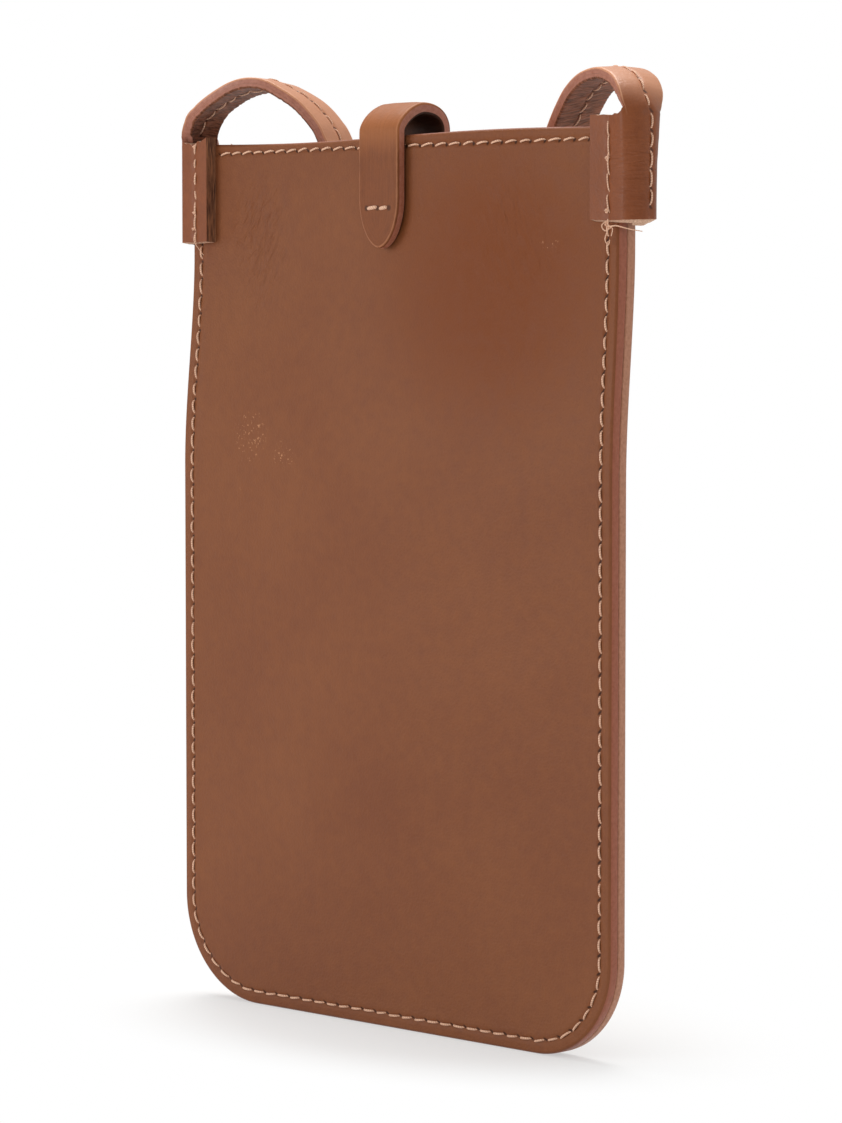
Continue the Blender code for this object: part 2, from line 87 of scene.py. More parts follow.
camera = bpy.data.cameras.new("camera")
camera.sensor_fit = "VERTICAL"
camera.sensor_height = SENSOR
camera.lens = LENS
camera.clip_start = 0.01
bpy.context.scene.camera = put("camera", camera, place(CAMERA_AT), place(CAMERA_LOOKS_AT))
bpy.context.scene.view_settings.view_transform = "Standard"
lamp("overhead_lamp", (-0.35, 0.25, 1.3), (0, 0, 0.1), 0.9, 16)
lamp("front_lamp", (-0.7, -1.5, 0.45), (0, 0, 0.08), 0.9, 9.6)
lamp("right_lamp", (1.2, 0.5, 0.6), (0, 0, 0.1), 0.7, 1.5)
print("camera at", tuple(round(v, 3) for v in bpy.context.scene.camera.location), "m from the frame's origin")

# %% [markdown]
# ## Adding nodes
#
# Paper, light and every finish are small networks of nodes. They could be wired by hand in the shader
# editor, but a script keeps each number where it can be read. One function adds any node, and its
# inputs are numbers, colours or the outputs of earlier nodes.

# %% Adding nodes
SMOOTH = {"interpolation_type": "SMOOTHSTEP"}
COLOURS = {"data_type": "RGBA"}


def linear(code):
    """A colour from its sRGB hex code, as the linear numbers that shaders reckon with."""
    parts = [int(code[i:i + 2], 16) / 255 for i in (0, 2, 4)]
    return (*(c / 12.92 if c <= 0.04045 else ((c + 0.055) / 1.055) ** 2.4 for c in parts), 1)


def feed(tree, node, inputs):
    """Each input of a node takes a value or the output of another node."""
    for key, value in inputs.items():
        if isinstance(value, bpy.types.NodeSocket):
            tree.links.new(value, node.inputs[key])
        else:
            node.inputs[key].default_value = value


def add(tree, kind, inputs=(), **settings):
    """Add a node and give its outputs. Inputs are named, or a tuple that fills them in their order."""
    node = tree.nodes.new("ShaderNode" + kind)
    for name, value in settings.items():
        setattr(node, name, value)
    feed(tree, node, inputs if isinstance(inputs, dict) else dict(enumerate(inputs)))
    return node.outputs


def finish_of(name):
    """A new material and its tree of nodes."""
    look = bpy.data.materials.new(name)
    look.use_nodes = True
    return look, look.node_tree


print("paper colour as linear numbers:", tuple(round(v, 3) for v in linear("E6E6E5")))

# %% [markdown]
# ## Paper floor and studio
#
# The pouch stood on white paper that runs on into a white background. More light on the paper would
# also bleach the leather. So rays that see the paper or the background straight find it white, and
# only near the pouch does the paper show its soft shadow.

# %% Paper floor and studio
PAPER_NEAR, PAPER_FAR, PAPER_VEIL, PAPER_DEEP, PAPER_HALF = 0.045, 0.095, 0.5, 1.6, 3.0
WHITE = (1, 1, 1, 1)


def paper_floor():
    """A square of paper. The share of plain white grows with the distance from the pouch.

    The share is multiplied by 1 for rays that see the paper straight, in a mirror or through glass,
    and by 0 for rays that carry light, so its white doesn't light the pouch.
    """
    s = PAPER_HALF
    mesh = bpy.data.meshes.new("floor")
    mesh.from_pydata([(-s, -s, 0), (s, -s, 0), (s, s, 0), (-s, s, 0)], [], [(0, 1, 2, 3)])
    look, tree = finish_of("floor_paper")
    tree.nodes.clear()
    paper = add(tree, "BsdfDiffuse", (linear("E6E6E5"),))[0]
    white = add(tree, "Emission", (WHITE, 1.0))[0]
    spot = add(tree, "TexCoord")["Object"]
    spot = add(tree, "VectorMath", (spot, (1, PAPER_DEEP, 1)), operation="MULTIPLY")[0]
    away = add(tree, "VectorMath", (spot,), operation="LENGTH")["Value"]
    far = add(tree, "MapRange", (away, PAPER_NEAR, PAPER_FAR), **SMOOTH)[0]
    share = add(tree, "MapRange", (far, 0, 1, PAPER_VEIL))[0]
    rays = add(tree, "LightPath")
    seen = add(tree, "Math", (rays["Is Camera Ray"], rays["Is Glossy Ray"]), operation="MAXIMUM")[0]
    seen = add(tree, "Math", (seen, rays["Is Transmission Ray"]), operation="MAXIMUM")[0]
    share = add(tree, "Math", (share, seen), operation="MULTIPLY")[0]
    add(tree, "OutputMaterial", (add(tree, "MixShader", (share, paper, white))[0],))
    mesh.materials.append(look)
    put("floor", mesh)


def studio():
    """Even light from all round, which rays from the camera find plain white."""
    world = bpy.data.worlds.new("studio")
    world.use_nodes = True
    tree = world.node_tree
    tree.nodes.clear()
    light = add(tree, "Background", ((1.0, 0.985, 0.965, 1), 0.54))[0]
    white = add(tree, "Background", (WHITE, 1.0))[0]
    rays = add(tree, "LightPath")["Is Camera Ray"]
    add(tree, "OutputWorld", (add(tree, "MixShader", (rays, light, white))[0],))
    bpy.context.scene.world = world


paper_floor()
studio()
print("paper:", 2 * PAPER_HALF, "m wide; shadow kept within", PAPER_FAR, "m")

# %% [markdown]
# ## Shape of the walls
#
# The pouch has two walls of leather with a lining, sewn together round the sides and the bottom. Between
# the seams they swell apart, as leather does that has held a phone. Above two thirds of the height both
# lean back a little, the left side more than the right. A cloth simulation could swell them, but these
# formulas are the solid model's own, so both agree. Only the lower corners and the mouth's edge are
# drawn again here, closer to the photo.

# %% Faces of the walls
HALF, HEIGHT = 60.1, 179.3
CORNER = {-1: 21.5, 1: 19.5}                 # radii of the lower corners, left and right
LEATHER, LINING, BOND = 1.35, 0.90, 0.10
WALL = LEATHER + BOND + LINING
LEAN_LEFT, LEAN_RIGHT = 3.2, 2.1
LEAN = (LEAN_LEFT + LEAN_RIGHT) / 2
SWELL = {-1: 2.9, 1: 1.6}                    # how far the front and the back swell out


def ease(value):
    """0 below 0, 1 above 1 and a smooth rise between: three squares less two cubes."""
    value = np.clip(value, 0, 1)
    return value * value * (3 - 2 * value)


def bell(value, middle, width):
    """1 at the middle and less on both sides: e to minus the square of the distance, in widths."""
    return np.exp(-((value - middle) / width) ** 2)


def lean_share(z):
    """How much of its lean the pouch has at a height: none at 112 mm and all of it 45 mm higher."""
    return ease((z - 112.0) / 45.0)


def seam_plane(x, z):
    """Depth of the seam between the walls: the lean, shared out from the left side to the right."""
    return (LEAN + (LEAN_RIGHT - LEAN_LEFT) / 2 * x / HALF) * lean_share(z)


def swell(x, z):
    """1 in the middle and 0 at the seams and the foot: a power of a cosine times an eased rise."""
    reach = np.minimum(np.abs(x) / (HALF - 5.0), 1)
    return np.cos(np.pi / 2 * reach) ** 1.3 * ease((z - 5.0) / 70.0)


def seam_gap(z):
    """Space between the two walls at the seams: it grows where they lean back."""
    return 0.1 + 0.6 * lean_share(z)


def wall_face(side, x, z):
    """Outer face of the front wall (-1) or the back one (1): plane, half gap, thickness and swelling."""
    return seam_plane(x, z) + side * (WALL + seam_gap(z) / 2 + SWELL[side] * swell(x, z))


print(f"wall: {WALL:.2f} mm thick; front face at its middle: {-wall_face(-1, 0.0, 90.0):.2f} mm forward")

# %% Outline of a wall
SIDES, CORNERS, BOTTOM, TOP = 300, 56, 100, 240    # points on each stretch of the outline
HEART_LOW, HEART_HIGH = 55.0, 125.0


def rim_rise(x):
    """The mouth's edge dips a little left of the tab and rises right of it, as a sine."""
    return -0.08 + 0.52 * np.sin(np.pi * (x - 4.0) / 58.0)


def outline(inset):
    """The wall's outline drawn in by inset: straight stretches joined by quarter circles.

    It runs from the left top corner down, round the bottom, up and back along the mouth.
    """
    half = HALF - inset
    radius = {side: CORNER[side] - inset for side in (-1, 1)}
    high = {side: HEIGHT + rim_rise(side * half) - inset for side in (-1, 1)}
    up = np.linspace(0, 1, SIDES, endpoint=False)
    a = np.pi / 2 * np.linspace(0, 1, CORNERS, endpoint=False)
    left = np.stack([np.full(SIDES, -half), high[-1] + (CORNER[-1] - high[-1]) * up], 1)
    turn = np.stack([-half + radius[-1] * (1 - np.cos(a)), CORNER[-1] - radius[-1] * np.sin(a)], 1)
    base = np.linspace(-half + radius[-1], half - radius[1], BOTTOM, endpoint=False)
    base = np.stack([base, np.full(BOTTOM, inset)], 1)
    rise = np.stack([half - radius[1] * (1 - np.sin(a)), CORNER[1] - radius[1] * np.cos(a)], 1)
    right = np.stack([np.full(SIDES, half), CORNER[1] + (high[1] - CORNER[1]) * up], 1)
    x = np.linspace(half, -half, TOP, endpoint=False)
    return np.vstack([left, turn, base, rise, right, np.stack([x, HEIGHT + rim_rise(x) - inset], 1)])


def heart():
    """The line in the middle of a wall that its rings shrink to, point for point with the outline."""
    up = np.linspace(0, 1, SIDES, endpoint=False) * (HEART_HIGH - HEART_LOW)
    foot = np.full(2 * CORNERS + BOTTOM, HEART_LOW)
    z = np.r_[HEART_HIGH - up, foot, HEART_LOW + up, np.full(TOP, HEART_HIGH)]
    return np.stack([np.zeros(len(z)), z], 1)


def run_length(points, closed=False):
    """Length along a line of points at each of them: the running sum of its steps."""
    if closed:
        points = np.vstack([points, points[:1]])
    return np.r_[0.0, np.cumsum(np.linalg.norm(np.diff(points, axis=0), axis=1))]


print(f"outline: {len(outline(0.0))} points, {run_length(outline(0.0))[-1]:.1f} mm round")

# %% [markdown]
# ## Nets of points
#
# A sculpted mesh would be hard to change. Here every piece is a net of points worked out with numpy,
# with texture coordinates in millimetres, so that grain, stitch holes and wear have their real size.
# One helper makes the faces of a net, one turns points and faces into a mesh object, and one closes a
# layer of leather out of its two faces and the rim between them.

# %% A mesh from a net
def finish_mesh(name, points, faces, uvs, looks, body, replaces=(), marks=None, weld=False):
    """A mesh object from points in the layout. A face's mark is the number of its material."""
    mesh = bpy.data.meshes.new(name)
    mesh.from_pydata(((points + SHIFT) * MM).tolist(), [], faces)
    layer = mesh.uv_layers.new(name="run")
    layer.data.foreach_set("uv", np.asarray(uvs, np.float32).ravel())
    mesh.polygons.foreach_set("use_smooth", [True] * len(faces))
    for look in looks:
        mesh.materials.append(look)
    if marks is not None:
        mesh.polygons.foreach_set("material_index", np.asarray(marks, np.int32))
    if weld:
        net = bmesh.new()
        net.from_mesh(mesh)
        bmesh.ops.remove_doubles(net, verts=net.verts, dist=0.002 * MM)
        net.to_mesh(mesh)
        net.free()
    mesh.update()
    mesh.set_sharp_from_angle(angle=math.radians(50))
    item = put(name, mesh)
    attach(item, body)
    if replaces:
        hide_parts(*replaces)
    size = np.ptp(points, axis=0)
    print(f"{name}: {len(faces)} faces, {size[0]:.1f} x {size[1]:.1f} x {size[2]:.1f} mm")
    return item


print("the layout moves by", SHIFT, "mm into the frame")

# %% Faces of a net
def grid(rows, u, v, wrap=False, caps=False, flip=False):
    """Faces and texture coordinates of a net of rows by columns.

    It can be closed round, capped at both ends, and turned inside out. u goes with the rows, or with
    every point, and v goes with the columns.
    """
    n, m = rows.shape[:2]
    u = np.broadcast_to(u if np.ndim(u) == 2 else u[:, None], (n, m))
    way = -1 if flip else 1
    k, j = np.meshgrid(np.arange(n - 1), np.arange(m if wrap else m - 1), indexing="ij")
    k, j = k.ravel(), j.ravel()
    after = (j + 1) % m
    faces = np.stack([k * m + j, k * m + after, (k + 1) * m + after, (k + 1) * m + j], 1)[:, ::way].tolist()
    us = np.stack([u[k, j], u[k, after], u[k + 1, after], u[k + 1, j]], 1)
    vs = np.stack([v[j], v[j + 1], v[j + 1], v[j]], 1)
    uvs = np.stack([us, vs], 2)[:, ::way].reshape(-1, 2).tolist()
    if caps:
        for ring, turn in ((0, -1), (n - 1, 1)):
            corners = np.arange(m)[::turn * way]
            faces.append((ring * m + corners).tolist())
            uvs += np.stack([u[ring, corners], v[corners]], 1).tolist()
    return faces, uvs


def tube(rows, u, v, caps=True):
    """A net closed round, whose faces look away from the middle of its first ring."""
    a, b, c = rows[0, 0], rows[0, 1], rows[1, 0]
    inwards = np.dot(np.cross(b - a, c - a), a - rows[0].mean(0)) < 0
    return grid(rows, u, v, wrap=True, caps=caps, flip=inwards)


corners, _ = grid(np.zeros((3, 4, 3)), np.zeros(3), np.zeros(5))
print("a net of 3 rows by 4 columns has", len(corners), "faces")

# %% A closed layer of leather
def slab(name, outer, inner, faces, uv, kind, looks, body, replaces):
    """A closed layer between an outer and an inner face that share one net of faces.

    Points of the outer face that fall together become one, and faces that shrink to a line go. The
    rim joins the free edges of both faces, in the material whose number kind gives its points.
    """
    _, first, back = np.unique(np.round(outer, 4), axis=0, return_index=True, return_inverse=True)
    faces = back.ravel()[faces]
    outer, inner, uv, kind = outer[first], inner[first], uv[first], kind[first]
    a, b, c, d = (outer[faces[:, i]] for i in range(4))
    if np.sum(np.cross(c - a, d - b) * (a - inner[faces[:, 0]])) < 0:
        faces = faces[:, ::-1]
    n = len(outer)
    whole = np.array([len(set(f)) == 4 for f in faces.tolist()])
    polygons = faces[whole].tolist()
    for f in faces[~whole].tolist():
        f = [p for i, p in enumerate(f) if p != f[i - 1]]
        if len(set(f)) == 3:
            polygons.append(f)
    edges = np.array([(f[i], f[(i + 1) % len(f)]) for f in polygons for i in range(len(f))])
    border = edges[~np.isin(edges[:, 0] * n + edges[:, 1], edges[:, 1] * n + edges[:, 0])]
    rim = np.stack([border[:, 1], border[:, 0], border[:, 0] + n, border[:, 1] + n], 1)
    under = [[p + n for p in f[::-1]] for f in polygons]
    every = polygons + under + rim.tolist()
    marks = [0] * (2 * len(polygons)) + kind[border].max(1).tolist()
    uvs = np.vstack([uv, uv])[np.concatenate([np.array(f) for f in every])]
    return finish_mesh(name, np.vstack([outer, inner]), every, uvs, looks, body, replaces, marks)


print(f"a wall: {LEATHER} mm leather, {BOND} mm glue and {LINING} mm lining")

# %% [markdown]
# ## Stitches
#
# A machine stitch shows as a short arch of thread that dives into a hole at either end. The leather is
# pulled in along the row, most at the holes, and stands up a little on both sides of it. A picture of
# stitches would be flat from the side, so both are real shape, and all stitches of a row are one mesh.

# %% How leather and thread lie at a stitch
PITCH, ROW_SIDE, ROW_MOUTH = 3.6, 2.7, 2.1    # from stitch to stitch, and from the edge to the row
THREAD, STITCH = 0.46, 3.0
STITCH_RINGS, THREAD_SIDES = 9, 6


def row_relief(off, phase):
    """How far leather stands out at a distance from its stitch row. Holes lie at whole phases.

    A bell-shaped groove that is deepest at the holes, and a low bell on each side of it.
    """
    pull = (0.5 + 0.5 * np.cos(2 * np.pi * phase)) ** 2
    groove = -bell(off, 0, 0.5) * (0.12 + 0.22 * pull)
    lips = 0.07 * bell(np.abs(off), 1.1, 0.55) * (1 - 0.7 * pull)
    return groove + lips


def ripple(u, v, seed, sizes, bend=0.35):
    """Soft uneven waves along u that wander with v: a sum of sines whose lengths are in millimetres."""
    draw = np.random.default_rng(seed)
    total = 0.0
    for size in sizes:
        a, b, c, d = draw.uniform(0, 2 * np.pi, 4)
        wander = bend * size * (np.sin(v / (2.2 * size) + b) + np.sin(v / (4.1 * size) + c))
        total = total + np.sin(2 * np.pi * (u + wander) / size + a) * (0.7 + 0.3 * np.sin(u / (5 * size) + d))
    return total / len(sizes)


def unit(vectors):
    """Vectors made one long."""
    return vectors / np.linalg.norm(vectors, axis=-1)[..., None]


print(f"leather at a hole: {row_relief(0.0, 0.0):.2f} mm; between holes: {row_relief(0.0, 0.5):.2f} mm")

# %% A row of stitches
def stitches(name, middle, along, up, look, body, length=STITCH, thick=THREAD, lift=0.24, sink=0.62,
             slant=0.0, seed=1, ragged=0.06, hook=0.0):
    """Every stitch of a row in one mesh.

    A stitch is a tube on an arch: its height falls from lift by a power of the way to its ends. It
    lies across the row by its slant, hooks round at one end, and each differs by small random draws.
    """
    draw = np.random.default_rng(seed)
    n = len(middle)
    along, up = unit(np.broadcast_to(along, middle.shape)), np.broadcast_to(up, middle.shape)
    across = np.cross(along, up)
    t = np.linspace(-1, 1, STITCH_RINGS)
    long = length / 2 * (1 + ragged * draw.standard_normal(n))[:, None] * t * (1 - 0.06 * np.abs(t) ** 5)
    high = lift - sink * np.abs(t) ** 3.2 + 0.04 * draw.standard_normal(n)[:, None] * (1 - t ** 2)
    skew = (slant * t - hook * np.clip(t - 0.45, 0, 1) ** 1.5 + ragged * draw.standard_normal(n)[:, None] * t
            + 0.6 * ragged * draw.standard_normal(n)[:, None])
    line = (middle[:, None] + along[:, None] * long[..., None] + up[:, None] * high[..., None]
            + across[:, None] * skew[..., None])
    run = unit(np.gradient(line, axis=1))
    wide = unit(np.cross(run, up[:, None]))
    tall = np.cross(wide, run)[:, :, None]
    a = np.linspace(0, 2 * np.pi, THREAD_SIDES, endpoint=False)
    r = thick / 2 * (1 - 0.30 * np.abs(t) ** 4)[:, None, None]
    ring = r * (np.cos(a)[:, None] * wide[:, :, None] + 0.9 * np.sin(a)[:, None] * tall)
    points = (line[:, :, None] + ring).reshape(-1, 3)
    k, j = np.meshgrid(np.arange(STITCH_RINGS - 1) * THREAD_SIDES, np.arange(THREAD_SIDES), indexing="ij")
    k, j = k.ravel(), j.ravel()
    after = (j + 1) % THREAD_SIDES
    one = np.stack([k + j, k + THREAD_SIDES + j, k + THREAD_SIDES + after, k + after], 1)
    starts = np.arange(n) * STITCH_RINGS * THREAD_SIDES
    faces = (one[None] + starts[:, None, None]).reshape(-1, 4).tolist()
    around = np.tile(a / (2 * np.pi) * 3 * thick, STITCH_RINGS)
    spot = np.stack([np.repeat(t * length / 2, THREAD_SIDES), around], 1)
    uvs = np.tile(spot[one.ravel()], (n, 1)).tolist()
    first, last = np.arange(THREAD_SIDES), (STITCH_RINGS - 1) * THREAD_SIDES + np.arange(THREAD_SIDES)[::-1]
    faces += [end.tolist() for start in starts for end in (start + first, start + last)]
    uvs += [[0, 0]] * (2 * THREAD_SIDES * n)
    return finish_mesh(name, points, faces, uvs, (look,), body)


print(f"a stitch: {STITCH} mm of {THREAD} mm thread, {(STITCH_RINGS - 1) * THREAD_SIDES + 2} faces")

# %% [markdown]
# ## Walls
#
# A wall is a leather panel whose edge is cut, turned, rubbed round and painted, then sewn. One closed
# profile could be swept round the outline, but the middle would still need its own surface. Instead
# rings run round the outline, from the inside of the edge over it to the middle, so that the edge, the
# stitch row and the soft puckers beside it are all real shape.

# %% Rings of a wall
EDGE, EDGE_DEEP, INNER_EDGE = 0.7, 1.0, 0.35     # radii of the turned edge outside and inside
EDGE_START, SEAM_LEFT = 1.4, 0.04                # the edges of both walls meet but for this gap
TURN_IN, RING_RUN = 2.15, 48.0                   # where the edge ends inside, and the way to the middle
BAND = (0.75, 0.95, 1.15, 1.4, 1.65, 1.85, 2.0, 2.1, 2.25, 2.4, 2.55, 2.7, 2.85, 3.0, 3.2, 3.45, 3.8, 4.3,
        5.0, 6.2, 8.0, 10.0, 12.0)
MOUTH_X = np.linspace(HALF - ROW_MOUTH, ROW_MOUTH - HALF, TOP, endpoint=False)


def wall_rings():
    """Insets and depths of a wall's rings, from inside the turned edge, round it and to its face."""
    inner, outer = np.radians((0, 30, 60, 90)), np.radians((90, 72, 54, 36, 18, 0))
    rings = [(TURN_IN, LEATHER), (1.75, WALL)]
    rings += [(INNER_EDGE * (1 - np.sin(a)), WALL - INNER_EDGE * (1 - np.cos(a))) for a in inner]
    rings += [(0.0, 1.75), (0.0, EDGE_START)]
    rings += [(EDGE * (1 - np.sin(a)), EDGE_DEEP * (1 - np.cos(a))) for a in outer]
    return rings + [(t, 0.0) for t in BAND]


def seam_phase():
    """Stitch counts at the outline's points: a whole number of stitches round the sides and the bottom."""
    seam = run_length(outline(ROW_SIDE)[:-TOP])
    seam = seam / (seam[-1] / round(seam[-1] / PITCH))
    return np.r_[seam, (HALF - MOUTH_X) / PITCH]


PHASE = seam_phase()
ROW = np.r_[np.full(len(PHASE) - TOP, ROW_SIDE), ROW_MOUTH + rim_rise(MOUTH_X)]
print(f"rings: {len(wall_rings())} round the edge; seam: {PHASE[-TOP - 1]:.0f} stitches of {PITCH} mm")

# %% A panel with its turned edge
def slack(side, x, z):
    """Slow unevenness of a panel that has been handled: two sums of long waves that fade to the seams."""
    seed = 4 if side < 0 else 9
    soft = ripple(x + 0.35 * z, z, seed, (46.0, 31.0, 22.0)) + 0.5 * ripple(z, x, seed + 1, (38.0, 17.0))
    return 0.16 * soft * np.clip((HALF - np.abs(x)) / 14.0, 0, 1) * np.clip(z / 14.0, 0, 1)


def puckers(inset, phase):
    """Small creases that run from the stitch row to the edge, two or so to a stitch."""
    some = ripple(phase * PITCH, inset * 2, 17, (1.9, 2.6, 1.3), bend=0.2)
    reach = bell(inset, 1.35, 0.6)
    return 0.045 * some * reach * (0.6 + 0.4 * np.sin(phase * 0.37))


def wall(side, word, looks):
    """A panel as one closed net of rings.

    Each ring lies at its depth under the wall's outer face. On the face the groove of the stitch row,
    the puckers and the slack are added, less and less down the edge. Below the edge's side the ring
    moves over to the other wall's, except at the mouth.
    """
    middle, within, field = heart(), outline(TURN_IN), outline(BAND[-1])
    rings = [(within + (middle - within) * f, RING_RUN * f, LEATHER) for f in (1.0, 0.8, 0.6, 0.4, 0.2, 0.05)]
    rings += [(outline(inset), inset, depth) for inset, depth in wall_rings()]
    rings += [(field + (middle - field) * f, BAND[-1] + RING_RUN * f, 0.0) for f in np.linspace(0, 1, 40)[1:]]
    sewn = np.arange(len(middle)) < len(middle) - TOP
    rows = []
    for spots, inset, depth in rings:
        x, z = spots.T
        meet = sewn * (seam_gap(z) - SEAM_LEFT) / 2
        meet = meet * np.clip((depth - EDGE_START) / (WALL - INNER_EDGE - EDGE_START), 0, 1)
        relief = row_relief(inset - ROW, PHASE) + puckers(inset, PHASE) + slack(side, x, z)
        relief = relief * np.clip(1 - depth / EDGE_DEEP, 0, 1)
        rows.append(np.stack([x, wall_face(side, x, z) + side * (relief - depth - meet), z], 1))
    rows = np.array(rows)
    across = np.array([inset - ROW for _, inset, _ in rings])
    along = np.r_[PHASE, PHASE[-1] + 0.14] * PITCH
    faces, uvs = grid(rows, across, along, wrap=True, flip=side > 0)
    marks = np.repeat([depth > 0.68 * EDGE_DEEP for _, _, depth in rings[:-1]], len(middle))
    return finish_mesh(word + "_leather", rows.reshape(-1, 3), faces, uvs, looks, "case", (word + "_panel",),
                       marks, weld=True)


def lining(side, word, look):
    """The suede inside a wall: rings on the leather's back shrink to the middle line and grow again."""
    edge, middle = outline(2.2), heart()
    rings = [(f, LEATHER + BOND, -1) for f in (1.0, 0.7, 0.4, 0.1, 0.0)]
    rings += [(f, WALL - 0.02, 1) for f in np.linspace(0, 1, 16)]
    rows = []
    for f, depth, _ in rings:
        x, z = (edge + (middle - edge) * f).T
        rows.append(np.stack([x, wall_face(side, x, z) - side * depth, z], 1))
    rows, across = np.array(rows), np.array([60 * f * way for f, _, way in rings])
    faces, uvs = grid(rows, across, run_length(edge, closed=True), wrap=True, flip=side < 0)
    return finish_mesh(word + "_suede", rows.reshape(-1, 3), faces, uvs, (look,), "case", (word + "_lining",),
                       weld=True)


print(f"slack in the middle: front {slack(-1, 0.0, 90.0):.2f} mm, back {slack(1, 0.0, 90.0):.2f} mm")

# %% Stitch rows of the walls
WRAP_TOP = {-1: HEIGHT + 1.0, 1: HEIGHT + 1.9}    # heights of the strap's wraps, left and right
WRAP_HIGH = {-1: 21.8, 1: 20.2}
ROW_SINK = 0.10


def mouth_spots():
    """Places of the mouth row's stitches, a pitch apart, and their direction."""
    x = HALF - np.arange(2.5, 2 * HALF / PITCH - 2.0) * PITCH
    x = x[np.abs(x) < 54.5]
    return np.stack([x, np.full(len(x), HEIGHT - ROW_MOUTH)], 1), np.tile((1.0, 0.0), (len(x), 1))


def seam_stitches(side, word, look):
    """The seam round the sides and bottom, below the strap's wraps, and the row under the mouth."""
    line, phase = outline(ROW_SIDE)[:-TOP], PHASE[:-TOP]
    places = np.arange(int(phase[-1])) + 0.5
    spots, ahead = (np.stack([np.interp(at, phase, line[:, k]) for k in (0, 1)], 1)
                    for at in (places, places + 0.1))
    foot = np.where(spots[:, 0] < 0, WRAP_TOP[-1] - WRAP_HIGH[-1], WRAP_TOP[1] - WRAP_HIGH[1])
    shown = spots[:, 1] < foot - 1.0
    seam = ("seam", spots[shown], (ahead - spots)[shown], 0.10, THREAD, 0.0)
    for name, at, run, slant, thick, hook in (seam, ("mouth_row", *mouth_spots(), 0.34, 0.40, 0.45)):
        x, z = at.T
        y = wall_face(side, x, z) + side * (slack(side, x, z) - ROW_SINK)
        along = np.stack([run[:, 0], np.zeros(len(run)), run[:, 1]], 1)
        stitches(word + "_" + name, np.stack([x, y, z], 1), along, (0.0, float(side), 0.0), look, "case",
                 slant=slant * side, seed=5 + side, thick=thick, hook=hook * side)


print("mouth row:", len(mouth_spots()[0]), "stitches")

# %% [markdown]
# ## Strips of leather
#
# Straps, the root of the tab and the tie are strips that follow a smooth line. A curve object with a
# bevel could make them, but it twists where the line turns in space. Here a section is set across the
# line at every point, so a strip keeps its width, its thickness and its upright side.

# %% Lines and sections
def even_path(points, step):
    """Points on a line at equal steps along it, found from its running length."""
    points = np.asarray(points, float)
    length = run_length(points)
    return pick(points, length, np.linspace(0, length[-1], max(2, int(round(length[-1] / step)) + 1)))


def pick(values, length, places):
    """Values that go with a line's points, read at places along it."""
    return np.stack([np.interp(places, length, values[:, k]) for k in range(3)], axis=1)


def smooth_path(points, step):
    """Points a step apart on a smooth curve through the given points.

    Between two points runs a cubic whose end directions weigh the slopes on both sides by the gaps.
    """
    points = np.asarray(points, float)
    gaps = np.linalg.norm(np.diff(points, axis=0), axis=1) ** 0.5
    slopes = np.diff(points, axis=0) / gaps[:, None]
    before, after = gaps[:-1, None], gaps[1:, None]
    middle = (slopes[:-1] * after + slopes[1:] * before) / (before + after)
    tangents = np.vstack([2 * slopes[0] - middle[0], middle, 2 * slopes[-1] - middle[-1]])
    t = np.linspace(0, 1, 40, endpoint=False)[:, None]
    fine = []
    for k, gap in enumerate(gaps):
        fine.append(points[k] * (2 * t ** 3 - 3 * t ** 2 + 1) + points[k + 1] * (3 * t ** 2 - 2 * t ** 3)
                    + tangents[k] * gap * (t ** 3 - 2 * t ** 2 + t)
                    + tangents[k + 1] * gap * (t ** 3 - t ** 2))
    return even_path(np.vstack(fine + [points[-1:]]), step)


def strip_frame(points, across):
    """Directions along, across and out of a strip at each point: across is made square to the run."""
    across = np.asarray(across, float)
    run = unit(np.gradient(points, axis=0))
    wide = unit(across - run * (run @ across)[:, None])
    face = np.cross(wide, run)
    return run, wide, face if face[np.argmax(points[:, 2])][2] >= 0 else -face


def section(half, low, high, round_low, round_high, across=14):
    """Cross-section of a strip, as a closed ring: a rectangle whose corners are quarter circles."""
    ring = []
    for x, y, r, start in ((1, high, round_high, 90), (1, low, round_low, 0),
                           (-1, low, round_low, -90), (-1, high, round_high, -180)):
        way = -1 if y == low else 1
        a = np.radians(np.linspace(start, start - 90, 5))
        ring.append(np.stack([x * (half - r) + r * np.cos(a), y - way * r + r * np.sin(a)], 1))
        if x == -way:
            flat = np.linspace(x, -x, across)[1:-1] * (half - r)
            ring.append(np.stack([flat, np.full(len(flat), y)], 1))
    return np.vstack(ring)


def strip(name, points, wide, face, half, low, high, look, replaces, round_low, round_high,
          closed=False):
    """A strip of leather or tape: one section carried along a path, from low to high along face."""
    ring = section(half, low, high, round_low, round_high)
    rows = points[:, None] + ring[:, :1] * wide[:, None] + ring[:, 1:] * face[:, None]
    if closed:
        rows, points = np.concatenate([rows, rows[:1]]), np.vstack([points, points[:1]])
    faces, uvs = tube(rows, run_length(points), run_length(ring, closed=True), caps=not closed)
    return finish_mesh(name, rows.reshape(-1, 3), faces, uvs, (look,), "case", replaces, weld=closed)


print("points of a strip's section:", len(section(5.5, 0.0, 1.0, 0.1, 0.4)))

# %% [markdown]
# ## Tab
#
# The tab is two leathers glued and trimmed together: a root sewn to the back, an arch over the mouth
# and a flap with a rounded point, held by a magnet. Its edge is painted, a line is pressed just inside
# it, and two short stitches cross its front. Its outline is laid flat here and then bent over the
# arch, because that is how it is cut, so the rim stays even round the point.

